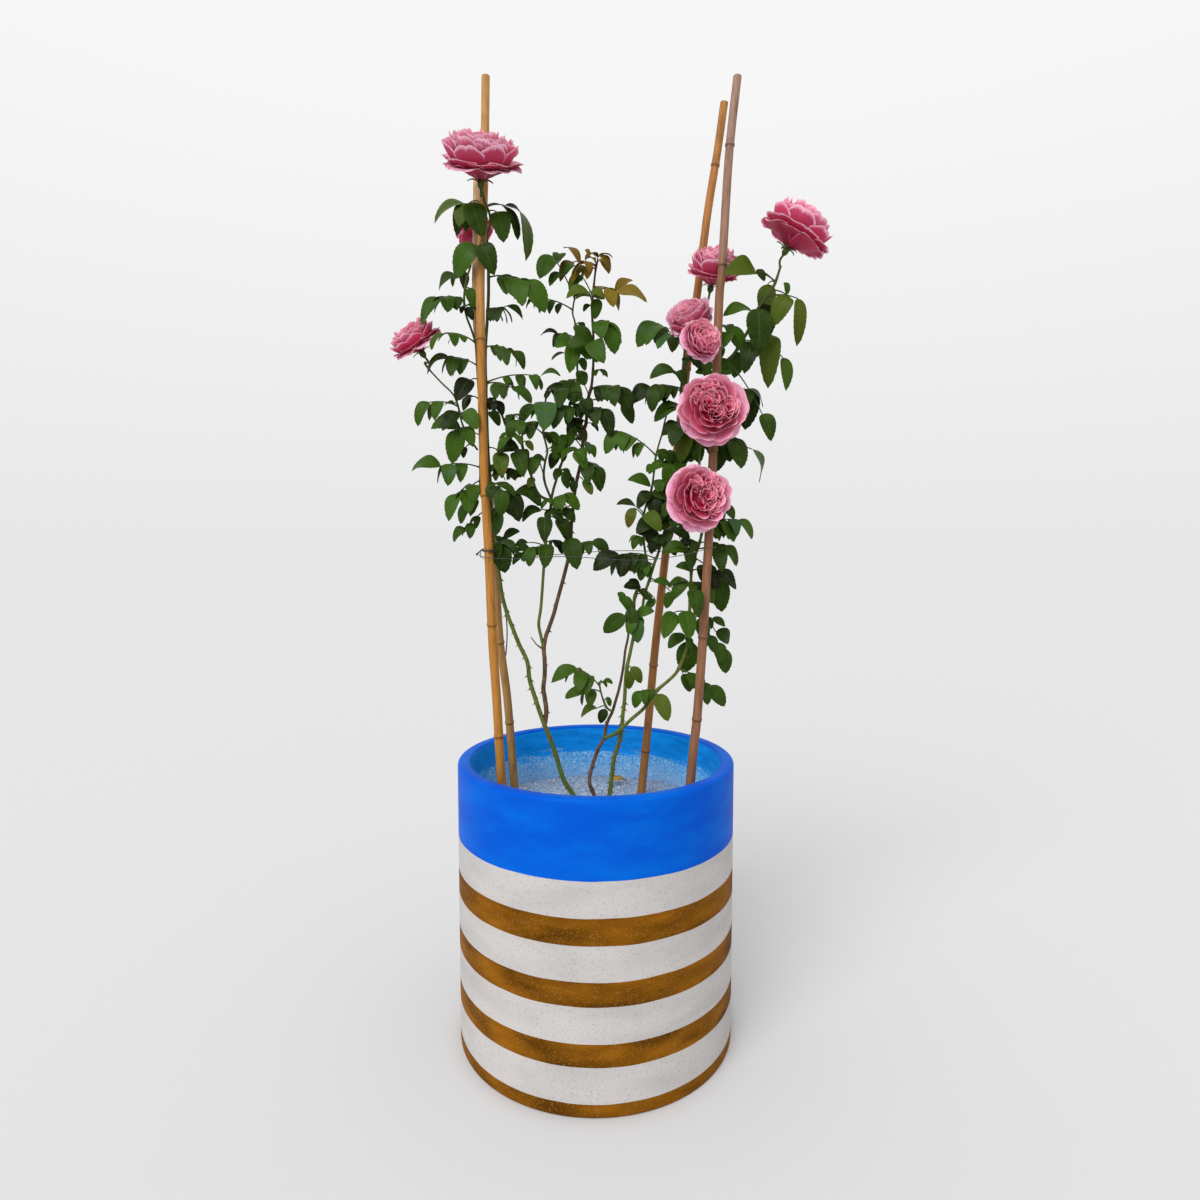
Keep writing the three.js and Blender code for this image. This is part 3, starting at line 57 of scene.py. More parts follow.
# The camera stands where the photo was taken from: its place in metres, and how many degrees it looks
# down; then the width of its sensor and the length of its lens
CAMERA_PLACE, CAMERA_DOWN = (0.0058, -1.044, 0.673), 3.83
SENSOR_WIDTH, LENS_LENGTH = 36, 22.75

# Pot: thickness of its floor, how far its foot is rounded, and the heights where its bands of paint end
POT_FLOOR = 22
FOOT_ROUNDING = 3
POT_SIDES, POT_STEPS = 180, 24
POT_BANDS = (17, 62, 91, 136, 166, 210, 244, 289)
# The profile has a ring this far below the rim inside, and stops short of the middle
INSIDE_RING, MIDDLE_GAP = 50, 0.5
# Drain holes: radius, and that of the ring they stand on; the drill goes right through the floor
DRAIN_RADIUS, DRAIN_RING, DRAIN_SIDES = 7, 95, 24
DRILL_SPARE = 5

# Soil: its height at the wall, how far it rises to the middle and drops at the wall, and its gaps
SOIL_LEVEL, SOIL_DOME, SOIL_EDGE_DROP = 306, 4, 2
SOIL_GAP, SOIL_FOOT_GAP = 0.6, 0.3
SOIL_RINGS, SOIL_SIDES = 40, 128
# Its waves (height, and how wide across and to the back), the roughness on them, and its stones
SOIL_WAVES, SOIL_ROUGHNESS = (1.2, 17, 21), 0.9
STONE_COUNT, STONE_EDGE_GAP = 420, 5
SMALLEST_STONE, STONE_RANGE = 0.9, 2.6

# Canes: sides, share by which they thin, points between two places of the way, and gap between rings
CANE_SIDES = 20
CANE_TAPER = 0.12
CANE_STEPS, CANE_RING_GAP, LEAST_GAP = 60, 14, 0.4
# A joint's extra rings, then its swellings and dark lines: share of the radius or of full darkness,
# place along the cane and width
JOINT_RINGS = (-7, -4.5, -3, -2, -1, 0, 1, 2, 3, 4.5, 7)
JOINT_RIDGE, JOINT_NECK = (0.16, 0, 2.2), (-0.05, -4, 1.6)
JOINT_LINE, JOINT_SHADE = (0.6, -2, 0.9), (0.12, 0, 7)

# Leaflets: thickness and shortest length, then shares of a leaflet's length or of its stalk's
LEAFLET_THICKNESS = 0.6
SMALLEST_LEAFLET = 15
LEAFLET_WIDTH, WIDTH_RANGE = 0.6, (0.9, 1.08)
SIDE_LEAFLET_SHARE = 0.84
# How level a stalk is before it counts, and over how much; level leaves spread less and droop more
STALK_LEVELS = (0.25, 0.6)
STALK_RISE = 0.16
PAIR_PLACES = ((), (0.62,), (0.46, 0.78), (0.36, 0.6, 0.84))
# A leaflet's outline (fullness, and the powers towards base and tip), and how far its teeth stand
# forward and out, all as shares; then the depth of the groove along its midrib, in millimetres
OUTLINE, BASE_POWER, TIP_POWER = 1.18, 0.58, 0.68
TOOTH_FORWARD, TOOTH_OUT = 0.008, 0.02
RIB_GROOVE = 0.35

# A stem swells where a leaf joins it (share of its radius, place and width), by so much at most
LEAF_JOINT, MOST_SWELL = (0.16, 0, 4), 1.25
TWIG_RADII = (1.5, 1.0, 0.7)
PETAL_THICKNESS = 0.5

# Thorns here for each one in the solids, and how far above the soil they start
THORN_SHARE = 3
THORN_CLEARANCE = 14
# A thorn as shares of its length: rings, height and breadth, how far it hooks down, and its tip
THORN_RINGS, THORN_SIZE = (0, 0.3, 0.65), (0.42, 0.17)
THORN_SEAT, THORN_HOOK, THORN_TIP = 0.5, 0.35, (1.1, 0.45)

# A bloom's stalk and hip: radii, and how far below the petals they lie; then its sepals
STALK_RADIUS, STALK_ENDS = 1.5, (16, 7)
HIP_PLACES = (9, 7.5, 5.5, 3.5, 1.5, 0, -2)
HIP_RADII = (1.5, 2.6, 4.0, 4.6, 4.4, 4.2, 3.5)
SEPALS, SEPAL_WIDTH = 5, 0.36
SEPAL_FOOT, SEPAL_REACH = (3.2, 0.5), (0.28, 0.02)

# The twist of tie wire on the left front cane: place, turns, rise, gap to the cane, and its free end
TIE_ACROSS, TIE_HEIGHT = -148, 669
TIE_TURNS, TIE_STEPS, TIE_RISE, TIE_GAP = 1.7, 14, 4, 2.2
TIE_END = ((-14, -1, -5), (-17, -4, -7))
# Thickness of the bare steel at its end, as shares of the tie's
BARE_END = (1.05, 1.5, 1.7, 1.6, 1.1)
WIRE_SIDES = 8

# Each cane: heights of its joints, and its way from foot to top (across, up, depth)
CANES = {
    "cane_left_front": (
        (948, 744, 574, 427),
        (
            (-117, 74, -66), (-132, 342, -58), (-138, 464, -54), (-143, 548, -51), (-147, 662, -47),
            (-153, 808, -39), (-155, 1007, -29), (-152, 1086, -24), (-148, 1170, -19), (-145, 1295, -12),
        ),
    ),
    "cane_left_back": (
        (1086, 848, 539, 421),
        (
            (-95, 74, 62), (-114, 339, 54), (-123, 464, 48), (-133, 548, 45), (-139, 647, 40),
            (-151, 821, 33), (-158, 948, 27), (-161, 1007, 24), (-158, 1132, 18), (-157, 1199, 14),
        ),
    ),
    "cane_right_front": (
        (1194, 1041, 801, 559, 451, 357),
        (
            (114, 74, -78), (133, 353, -68), (142, 451, -63), (151, 603, -57), (160, 808, -47),
            (166, 1007, -36), (169, 1041, -34), (177, 1194, -28), (187, 1295, -24),
        ),
    ),
    "cane_right_back": (
        (1202, 928, 740, 504, 376),
        (
            (37, 74, 72), (64, 336, 65), (74, 442, 62), (82, 534, 59), (95, 658, 56), (118, 875, 50),
            (137, 1020, 46), (149, 1118, 43), (162, 1202, 40), (170, 1262, 38),
        ),
    ),
}

# Each shoot: kind, radius at its foot and tip, its thorns in the solids, and its way
SHOOTS = {
    "left_climbing_stem": ("green", 3.5, 2.0, 10, (
        (6, 218, 2), (-5, 257, 1), (-18, 300, 0), (-32, 329, 0), (-45, 350, -2), (-54, 379, -5),
        (-63, 407, -8), (-74, 435, -10), (-85, 468, -10), (-92, 492, -8), (-95, 517, -5), (-106, 541, 0),
        (-115, 564, 0), (-124, 589, 4), (-130, 614, 2), (-133, 638, -2), (-139, 665, -6), (-143, 692, -12),
        (-144, 727, -14), (-145, 761, -14), (-147, 801, -14), (-148, 848, -14), (-149, 895, -12),
        (-149, 941, -10), (-146, 981, -10), (-144, 1015, -8), (-144, 1053, -5), (-146, 1092, 0),
        (-149, 1130, 0),
    )),
    "left_side_shoot": ("green", 2.2, 1.3, 0, (
        (-144, 717, -15), (-150, 731, -12), (-157, 751, -12), (-157, 774, -14), (-157, 801, -14),
        (-157, 828, -13), (-158, 855, -10), (-158, 882, -8), (-159, 915, -4), (-161, 945, 2),
        (-167, 967, 4), (-174, 986, 2), (-177, 1007, 0), (-174, 1031, 0), (-168, 1051, 6),
    )),
    "left_bloom_shoot": ("green", 1.4, 1.1, 0, (
        (-161, 808, -15), (-166, 815, -19), (-174, 827, -23), (-182, 845, -26), (-186, 864, -28),
        (-193, 882, -28), (-209, 898, -26), (-224, 914, -22),
    )),
    "leaning_shoot": ("green", 2.0, 1.4, 0, (
        (-61, 740, 0), (-69, 742, -4), (-76, 746, -6), (-82, 755, -8), (-88, 773, -10), (-96, 797, -10),
        (-102, 820, -8), (-111, 831, -8), (-121, 839, -8), (-127, 854, -9), (-133, 867, -10),
        (-138, 880, -10), (-141, 890, -8),
    )),
    "middle_brown_stem": ("bark", 3.4, 1.5, 3, (
        (-71, 430, -10), (-69, 448, -7), (-71, 466, -4), (-73, 480, -3), (-71, 499, -2), (-71, 520, 0),
        (-72, 536, 2), (-69, 553, 4), (-65, 564, 6), (-58, 584, 10), (-53, 603, 12), (-46, 628, 14),
        (-40, 651, 14), (-35, 672, 12), (-34, 692, 10), (-33, 713, 8), (-30, 736, 6), (-28, 756, 4),
        (-24, 775, 2), (-20, 794, 0), (-18, 813, 0), (-17, 829, 0), (-13, 845, 0), (-12, 862, 0),
        (-10, 878, 0), (-6, 892, -2), (-4, 910, -4), (-3, 931, -6), (-3, 955, -8), (-4, 974, -8),
        (-5, 994, -8), (-4, 1011, -8),
    )),
    "young_shoot": ("young", 1.6, 1.2, 0, (
        (-4, 1009, -8), (-2, 1030, -8), (0, 1047, -6), (2, 1057, -4),
    )),
    "middle_left_shoot": ("green", 2.3, 1.3, 0, (
        (-72, 536, 2), (-76, 553, 0), (-79, 570, 0), (-76, 591, 0), (-74, 614, 0), (-72, 642, 0),
        (-70, 664, 0), (-69, 682, 0), (-66, 699, 0), (-63, 720, 0), (-61, 740, 0), (-65, 751, -3),
        (-69, 762, -5), (-71, 775, -6), (-69, 792, -7), (-66, 805, -7), (-68, 817, -7), (-71, 829, -7),
        (-71, 844, -6), (-69, 867, -4), (-67, 880, -2),
    )),
    "middle_dark_shoot": ("green", 1.9, 1.1, 0, (
        (-61, 740, 0), (-58, 754, 8), (-54, 767, 14), (-50, 781, 18), (-45, 794, 20), (-39, 811, 20),
        (-35, 827, 18), (-32, 843, 15), (-30, 862, 12), (-28, 882, 12), (-25, 902, 11), (-25, 919, 10),
        (-27, 941, 10), (-27, 960, 10), (-28, 978, 10), (-31, 989, 10), (-30, 1001, 10), (-28, 1010, 10),
    )),
    "right_brown_stem": ("bark", 3.2, 1.6, 2, (
        (6, 218, 14), (6, 264, 12), (3, 304, 10), (-2, 327, 8), (-8, 342, 6), (-9, 354, 6), (-5, 370, 4),
        (0, 386, 2), (6, 400, 0), (12, 411, 0), (14, 425, 3), (18, 437, 5), (23, 447, 6), (28, 464, 6),
        (32, 478, 6), (36, 497, 6), (39, 517, 6), (41, 534, 6), (44, 548, 6), (46, 564, 5),
    )),
    "low_spray": ("green", 1.6, 1.0, 0, (
        (24, 447, 5), (16, 452, 0), (11, 462, -4), (7, 475, -8), (5, 486, -10),
    )),
    "right_green_branch": ("green", 2.6, 1.5, 2, (
        (12, 411, 0), (21, 413, -8), (32, 420, -16), (50, 437, -18), (66, 451, -18), (77, 466, -19),
        (86, 478, -20), (100, 490, -22), (111, 501, -22), (118, 514, -23), (124, 531, -25), (128, 550, -26),
        (129, 575, -26), (130, 603, -26), (131, 628, -26), (132, 647, -24), (138, 669, -20),
        (144, 688, -17), (147, 710, -16), (144, 736, -16), (141, 767, -14), (142, 801, -12),
        (145, 828, -10), (147, 855, -10), (154, 879, -8), (161, 899, -5), (169, 915, 0),
    )),
    "right_thorny_stem": ("green", 3.2, 2.3, 9, (
        (14, 218, -6), (17, 264, -5), (18, 304, -5), (19, 326, -5), (21, 343, -5), (23, 362, -5),
        (25, 379, -5), (30, 396, -5), (34, 411, -5), (36, 425, -5), (38, 447, -4), (40, 464, -4),
        (41, 485, -4), (43, 508, -5), (47, 527, -6), (50, 542, -7), (54, 562, -8), (52, 582, -8),
        (53, 603, -8), (57, 617, -8),
    )),
    "right_climbing_shoot": ("green", 2.1, 1.4, 0, (
        (54, 559, -8), (58, 573, -9), (63, 585, -10), (66, 603, -11), (69, 617, -12), (73, 628, -12),
        (77, 642, -12), (81, 655, -12), (86, 668, -12), (90, 682, -12), (94, 697, -10), (98, 713, -7),
        (103, 740, 0), (109, 767, 7), (114, 794, 10), (117, 821, 11), (118, 848, 10), (116, 875, 8),
        (116, 895, 6), (118, 922, 4), (121, 947, 0),
    )),
    "right_inner_shoot": ("green", 1.7, 1.1, 0, (
        (76, 639, -12), (71, 655, -6), (67, 675, -3), (65, 697, -2), (65, 716, -2), (69, 733, -2),
        (76, 754, -4), (79, 774, -4), (81, 794, -4), (85, 812, -4), (90, 829, -4), (93, 843, -4),
        (97, 859, -4), (99, 875, -2),
    )),
    "upper_right_shoot": ("green", 2.0, 1.7, 0, (
        (169, 915, 0), (177, 927, 0), (187, 937, -3), (201, 959, -8), (211, 978, -10), (218, 996, -12),
        (232, 1013, -14), (241, 1030, -16), (248, 1052, -18),
    )),
}

# A bare twig, by the stem it stands on
TWIGS = {"middle_brown_stem": ((-72, 534, 1), (-82, 541, -1), (-90, 552, -3))}

# Each leaf: place on its shoot, end of its stalk, tip of its end leaflet (across and up for each),
# pairs of side leaflets, depth of the stalk's end behind the shoot, tilt of the upper side from facing
# the front (0) to facing up (90), and the end leaflet's length, 0 where it is as long as it looks
LEAVES = {
    "left_climbing_stem": (
        (-148, 1127, -120, 1130, -87, 1062, 0, -22, 80, 0),
        (-148, 1127, -129, 1132, -101, 1088, 0, -30, 78, 0),
        (-147, 1119, -132, 1122, -123, 1082, 0, -36, 20, 40),
        (-148, 1128, -173, 1131, -217, 1110, 3, -4, 50, 0),
        (-149, 1130, -168, 1134, -152, 1091, 0, -49, 10, 44),
        (-145, 1086, -155, 1080, -136, 1040, 0, -46, 15, 0),
        (-144, 1037, -94, 1032, -68, 990, 3, -18, 45, 0), (-146, 992, -127, 996, -98, 981, 3, -20, 55, 0),
        (-147, 945, -114, 940, -96, 916, 3, -28, 45, 0), (-147, 898, -75, 906, -47, 906, 3, -11, 55, 0),
        (-146, 854, -144, 859, -130, 841, 0, 18, 25, 0), (-145, 811, -130, 805, -128, 773, 0, -20, 10, 34),
        (-144, 762, -128, 754, -130, 718, 2, -49, 30, 34),
        (-144, 756, -117, 747, -105, 710, 0, -15, 12, 38), (-144, 746, -110, 752, -75, 731, 2, -6, 50, 0),
        (-144, 724, -139, 729, -136, 692, 2, -7, 20, 34), (-143, 691, -127, 688, -104, 698, 2, 8, 35, 0),
        (-141, 679, -132, 682, -125, 640, 2, -14, 20, 38), (-147, 896, -113, 891, -86, 872, 2, -37, 40, 0),
        (-147, 868, -134, 874, -126, 854, 2, -12, 35, 20), (-144, 770, -124, 782, -109, 766, 2, -16, 40, 0),
        (-144, 780, -139, 789, -135, 770, 2, -10, 30, 0),
    ),
    "left_side_shoot": (
        (-165, 1065, -159, 1078, -189, 1037, 0, -44, 10, 0),
        (-168, 1051, -187, 1040, -213, 1022, 1, 24, 45, 0),
        (-167, 1056, -167, 1062, -181, 1041, 0, 1, 25, 0),
        (-177, 1006, -208, 1010, -235, 974, 2, -34, 45, 0),
        (-176, 1022, -170, 1023, -164, 997, 0, -14, 20, 0),
        (-177, 1001, -173, 998, -165, 980, 1, -10, 25, 0), (-164, 951, -205, 963, -224, 943, 2, -54, 60, 0),
        (-164, 920, -198, 932, -230, 911, 2, -26, 50, 0), (-164, 902, -169, 902, -189, 874, 0, -15, 8, 38),
        (-164, 875, -170, 879, -180, 860, 1, 26, 35, 0), (-162, 827, -170, 831, -182, 833, 0, 12, 30, 0),
        (-160, 784, -211, 786, -252, 781, 2, -33, 45, 0), (-160, 767, -182, 747, -204, 712, 2, -20, 45, 0),
        (-157, 750, -171, 735, -187, 708, 1, 9, 40, 0), (-149, 727, -178, 701, -197, 684, 2, -10, 40, 0),
    ),
    "left_bloom_shoot": (
        (-186, 867, -225, 872, -243, 840, 1, -18, 40, 0), (-185, 860, -187, 859, -208, 832, 0, -22, 12, 36),
        (-184, 855, -180, 859, -161, 836, 0, -10, 12, 32),
        (-179, 837, -186, 835, -196, 789, 1, -20, 15, 44), (-188, 872, -191, 870, -206, 868, 0, -10, 50, 0),
        (-168, 817, -177, 812, -181, 797, 0, 1, 30, 0),
    ),
    "leaning_shoot": (
        (-102, 819, -117, 825, -133, 807, 2, -46, 50, 0), (-99, 807, -110, 805, -98, 770, 2, -24, 12, 38),
        (-95, 793, -86, 798, -69, 792, 2, -10, 35, 0), (-101, 815, -95, 820, -85, 807, 0, -16, 12, 0),
        (-86, 767, -84, 770, -93, 756, 0, -12, 12, 0), (-123, 844, -114, 856, -117, 835, 2, -12, 25, 0),
        (-91, 781, -109, 781, -121, 767, 2, 4, 25, 0), (-134, 871, -139, 878, -145, 864, 0, 10, 25, 0),
    ),
    "middle_brown_stem": (
        (-37, 664, -37, 688, -26, 646, 0, -17, 8, 46), (-35, 673, -5, 684, 18, 669, 2, -20, 25, 0),
        (-31, 732, -45, 728, -28, 710, 0, -13, 15, 0), (-27, 759, -32, 765, -31, 750, 2, -18, 20, 0),
        (-25, 771, -17, 767, -5, 747, 0, -24, 12, 0), (-20, 794, -5, 786, 7, 751, 3, -16, 35, 0),
        (-19, 808, -30, 805, -11, 780, 2, -24, 25, 0), (-18, 821, -9, 815, -1, 797, 2, 1, 30, 0),
        (-14, 843, -6, 844, 4, 833, 0, -6, 40, 0), (-13, 845, -25, 851, -34, 837, 2, -4, 35, 0),
        (-12, 862, 7, 863, 21, 825, 2, -20, 30, 0), (-13, 854, -31, 862, -40, 841, 2, -20, 25, 0),
        (-10, 872, -20, 875, -8, 851, 2, -24, 15, 0), (-7, 890, 29, 892, 48, 858, 3, -24, 30, 0),
        (-8, 886, 2, 892, 4, 872, 0, 8, 20, 0), (-3, 912, 4, 915, 17, 906, 2, -10, 45, 0),
        (-3, 939, -9, 951, 11, 924, 2, -28, 12, 38), (-4, 976, 15, 978, 27, 937, 3, -20, 25, 0),
        (-5, 999, 2, 1009, -1, 982, 0, -14, 20, 0), (-5, 997, -8, 1001, -17, 992, 0, -8, 20, 0),
        (-4, 1002, -10, 1018, -40, 1009, 2, -32, 25, 0), (-1, 1034, -20, 1040, -35, 1017, 0, 4, 15, 0),
        (-28, 870, -44, 864, -58, 835, 2, -30, 25, 32), (-27, 837, -46, 824, -56, 794, 2, 1, 20, 32),
        (-30, 811, -38, 827, -23, 848, 2, 45, 30, 26), (-8, 880, -15, 894, -23, 915, 0, 2, 20, 24),
        (3, 872, 36, 870, 51, 843, 0, 22, 15, 34),
    ),
    "young_shoot": (
        (1, 1051, -21, 1054, -44, 1075, 1, -28, 62, 0), (1, 1054, -8, 1064, -14, 1074, 1, -25, 25, 0),
        (2, 1056, 7, 1061, 19, 1043, 0, 1, 25, 0), (0, 1048, -13, 1051, -33, 1030, 1, -6, 50, 0),
        (-6, 1057, 4, 1066, 19, 1043, 1, -16, 62, 0), (-8, 1054, -30, 1057, -48, 1031, 0, 21, 30, 0),
        (-2, 1024, 29, 1018, 69, 1003, 1, -10, 45, 0), (2, 1020, 26, 1019, 49, 1035, 0, 8, 35, 0),
    ),
    "middle_left_shoot": (
        (-69, 675, -68, 680, -70, 647, 0, -22, 8, 36), (-69, 676, -90, 673, -110, 669, 2, -12, 30, 0),
        (-69, 682, -49, 684, -46, 666, 2, 22, 30, 0), (-70, 669, -88, 676, -92, 649, 0, -14, 15, 28),
        (-70, 671, -101, 668, -114, 651, 2, -10, 35, 0), (-69, 677, -93, 682, -111, 677, 0, -8, 30, 0),
        (-64, 714, -70, 717, -71, 684, 0, -39, 8, 38), (-63, 724, -75, 727, -101, 710, 0, -12, 45, 0),
        (-62, 727, -59, 725, -45, 709, 2, -13, 20, 0), (-63, 718, -54, 714, -37, 684, 0, -8, 35, 0),
        (-61, 737, -46, 747, -22, 727, 2, -12, 40, 0), (-61, 740, -67, 737, -75, 728, 2, -18, 30, 0),
        (-69, 862, -69, 872, -70, 833, 0, -26, 5, 44), (-70, 858, -82, 868, -104, 845, 3, 21, 25, 0),
        (-71, 831, -64, 831, -49, 815, 2, 4, 35, 0), (-67, 879, -59, 887, -48, 872, 2, -18, 30, 0),
        (-71, 843, -92, 845, -99, 827, 2, 8, 30, 0), (-102, 827, -107, 848, -119, 821, 2, -24, 30, 28),
        (-87, 767, -79, 797, -88, 773, 0, -14, 15, 28),
    ),
    "middle_dark_shoot": (
        (-49, 785, -45, 774, -38, 755, 2, -16, 25, 0), (-43, 797, -49, 805, -62, 782, 2, -8, 45, 0),
        (-29, 875, -32, 892, -19, 874, 2, -29, 20, 0), (-28, 878, -44, 890, -50, 863, 2, -32, 15, 34),
        (-31, 855, -44, 868, -54, 847, 2, -16, 30, 0), (-32, 843, -23, 839, -13, 819, 2, -10, 25, 0),
        (-25, 902, -38, 900, -54, 888, 2, -6, 35, 0), (-25, 920, -20, 931, -14, 914, 0, -8, 15, 0),
        (-27, 947, -29, 948, -35, 912, 2, -24, 12, 38), (-26, 937, -40, 937, -60, 928, 0, -2, 60, 0),
        (-27, 957, -51, 963, -75, 963, 3, -8, 50, 0), (-27, 974, -21, 978, -16, 965, 0, -6, 20, 0),
        (-30, 994, -74, 1009, -94, 996, 3, -8, 55, 0), (-28, 1009, -58, 1065, -75, 1034, 2, -18, 25, 0),
    ),
    "low_spray": (
        (5, 483, -26, 508, -62, 487, 2, -18, 45, 0), (6, 485, 10, 490, 24, 487, 1, 6, 40, 0),
        (7, 475, -14, 478, -43, 466, 1, -12, 35, 0), (11, 462, 17, 468, 20, 454, 0, 1, 15, 0),
        (13, 457, 13, 451, 6, 430, 0, -19, 8, 0), (13, 455, 2, 452, -22, 440, 0, -6, 55, 0),
    ),
    "right_green_branch": (
        (85, 476, 64, 476, 53, 452, 2, -14, 20, 0), (86, 478, 85, 472, 101, 433, 0, -20, 8, 44),
        (115, 508, 155, 482, 180, 454, 3, 4, 20, 0), (128, 548, 129, 546, 125, 499, 0, 6, 8, 48),
        (128, 548, 122, 552, 100, 536, 2, -13, 40, 0), (129, 573, 122, 588, 130, 548, 0, -24, 10, 42),
        (129, 584, 108, 586, 94, 549, 0, -23, 8, 42), (130, 610, 133, 617, 140, 578, 0, -41, 8, 42),
        (131, 624, 126, 628, 105, 603, 2, -11, 40, 0), (131, 625, 137, 628, 148, 603, 0, -14, 35, 0),
        (132, 640, 131, 643, 110, 650, 0, -12, 30, 0), (135, 658, 125, 672, 91, 668, 3, -14, 30, 0),
        (139, 672, 139, 683, 131, 668, 0, -22, 10, 0), (139, 673, 168, 673, 174, 642, 0, -13, 10, 36),
        (142, 682, 176, 677, 196, 651, 2, 3, 40, 0), (132, 644, 164, 642, 193, 617, 3, -8, 40, 0),
        (130, 617, 146, 624, 162, 598, 2, -6, 20, 0), (130, 603, 142, 595, 152, 570, 0, -8, 20, 0),
        (130, 586, 144, 578, 151, 546, 0, -10, 15, 0), (129, 567, 116, 575, 104, 566, 0, -14, 35, 0),
        (143, 679, 129, 687, 116, 671, 2, -8, 30, 0), (144, 713, 161, 718, 176, 698, 2, 4, 25, 0),
        (145, 724, 173, 732, 191, 714, 2, 2, 30, 0), (145, 736, 129, 743, 117, 728, 2, 6, 30, 0),
        (146, 695, 177, 709, 191, 683, 2, 2, 25, 0), (147, 705, 195, 713, 216, 687, 2, 5, 55, 0),
        (129, 570, 175, 536, 181, 500, 3, 4, 20, 0), (129, 578, 161, 578, 179, 566, 2, 7, 35, 0),
        (145, 825, 187, 823, 198, 782, 2, -21, 12, 46), (143, 813, 213, 809, 224, 763, 0, 10, 80, 0),
        (154, 878, 212, 888, 203, 835, 0, 31, 10, 44), (149, 895, 159, 923, 170, 945, 2, 6, 20, 30),
        (147, 835, 139, 813, 127, 792, 2, 24, 15, 32), (146, 827, 172, 808, 164, 778, 2, 30, 25, 32),
        (146, 658, 168, 631, 174, 586, 2, 26, 20, 40), (144, 603, 166, 559, 187, 543, 0, 24, 20, 30),
        (120, 508, 121, 500, 131, 475, 0, 10, 20, 28),
    ),
    "right_thorny_stem": (
        (44, 510, 49, 510, 63, 487, 0, -6, 25, 0), (43, 507, 46, 504, 46, 478, 0, -5, 12, 0),
        (53, 588, 40, 582, 11, 557, 0, -18, 10, 0), (52, 585, 49, 586, 32, 606, 0, -12, 35, 0),
        (53, 578, 56, 578, 58, 543, 1, -12, 15, 0), (55, 607, 62, 621, 38, 622, 1, -12, 25, 0),
        (53, 595, 40, 599, 31, 614, 0, -10, 20, 0), (53, 592, 49, 593, 51, 560, 0, -16, 15, 0),
        (52, 581, 61, 580, 63, 564, 0, -10, 20, 0), (55, 611, 68, 611, 78, 600, 0, -8, 35, 0),
    ),
    "right_climbing_shoot": (
        (73, 627, 79, 629, 105, 620, 0, -14, 50, 0), (69, 616, 82, 604, 68, 589, 0, 1, 10, 0),
        (75, 633, 104, 614, 97, 591, 0, -18, 10, 0), (77, 644, 68, 655, 61, 629, 2, -10, 25, 0),
        (80, 651, 48, 660, 36, 635, 2, -17, 25, 0), (83, 660, 33, 665, -4, 644, 3, -25, 35, 0),
        (89, 679, 79, 684, 76, 666, 2, -12, 25, 0), (94, 699, 105, 699, 129, 684, 2, -12, 25, 0),
        (92, 688, 85, 694, 80, 669, 2, -10, 25, 0), (98, 713, 110, 716, 121, 698, 2, -8, 30, 0),
        (104, 740, 115, 744, 126, 724, 2, -6, 30, 0), (91, 683, 99, 684, 110, 664, 2, 4, 25, 0),
        (102, 735, 104, 739, 91, 716, 0, -26, 10, 0), (111, 773, 101, 790, 96, 755, 2, -27, 15, 0),
        (118, 835, 116, 840, 104, 811, 2, -24, 15, 36), (117, 827, 125, 833, 115, 790, 0, -20, 15, 0),
        (117, 820, 134, 823, 141, 789, 0, -14, 20, 0), (113, 786, 118, 793, 101, 762, 2, -10, 25, 0),
        (118, 841, 131, 847, 134, 820, 2, -8, 30, 0), (117, 819, 123, 819, 120, 786, 0, -7, 15, 0),
        (116, 868, 109, 864, 79, 847, 2, -26, 20, 0), (116, 886, 80, 894, 76, 860, 3, -37, 15, 34),
        (116, 890, 75, 892, 46, 871, 2, -8, 20, 0), (117, 899, 106, 914, 73, 902, 2, -26, 25, 0),
        (120, 941, 83, 977, 56, 945, 2, 11, 30, 0), (119, 928, 127, 933, 141, 916, 2, -12, 25, 0),
        (94, 679, 77, 716, 72, 680, 2, -10, 15, 30),
    ),
    "right_inner_shoot": (
        (65, 721, 55, 731, 28, 733, 0, -12, 50, 0), (65, 718, 52, 729, 44, 702, 0, -16, 5, 0),
        (65, 717, 67, 721, 89, 699, 0, -22, 8, 36), (77, 755, 75, 759, 43, 767, 0, -8, 35, 0),
        (80, 788, 77, 788, 69, 778, 0, -8, 40, 0), (79, 781, 96, 790, 71, 777, 0, -14, 45, 0),
        (78, 765, 93, 767, 108, 746, 2, -12, 30, 0), (70, 736, 84, 742, 99, 727, 2, -8, 30, 0),
        (65, 708, 73, 703, 81, 684, 2, -10, 20, 0), (66, 686, 58, 691, 51, 672, 2, -10, 25, 0),
        (82, 801, 93, 804, 107, 792, 2, -8, 35, 0), (80, 790, 89, 790, 108, 781, 0, -8, 30, 0),
        (82, 800, 33, 833, 13, 802, 3, -12, 25, 36), (76, 751, 77, 748, 83, 713, 2, -6, 20, 36),
    ),
    "upper_right_shoot": (
        (212, 980, 217, 996, 219, 932, 0, -23, 20, 0), (197, 952, 212, 952, 201, 911, 0, -23, 8, 42),
        (205, 967, 238, 961, 233, 891, 0, 5, 40, 0), (204, 964, 253, 931, 259, 887, 0, 10, 40, 0),
        (211, 978, 209, 994, 171, 986, 0, -14, 40, 0), (242, 1030, 231, 1028, 228, 984, 0, 33, 25, 0),
        (232, 1011, 272, 1009, 274, 948, 0, 16, 84, 0), (230, 1010, 261, 1011, 239, 974, 0, -26, 20, 0),
        (237, 1020, 257, 1014, 254, 1031, 0, -4, 30, 0), (242, 1031, 215, 1044, 176, 1044, 0, -15, 8, 46),
        (242, 1030, 216, 1047, 227, 1032, 0, -21, 20, 18), (191, 943, 177, 970, 200, 941, 1, -12, 25, 0),
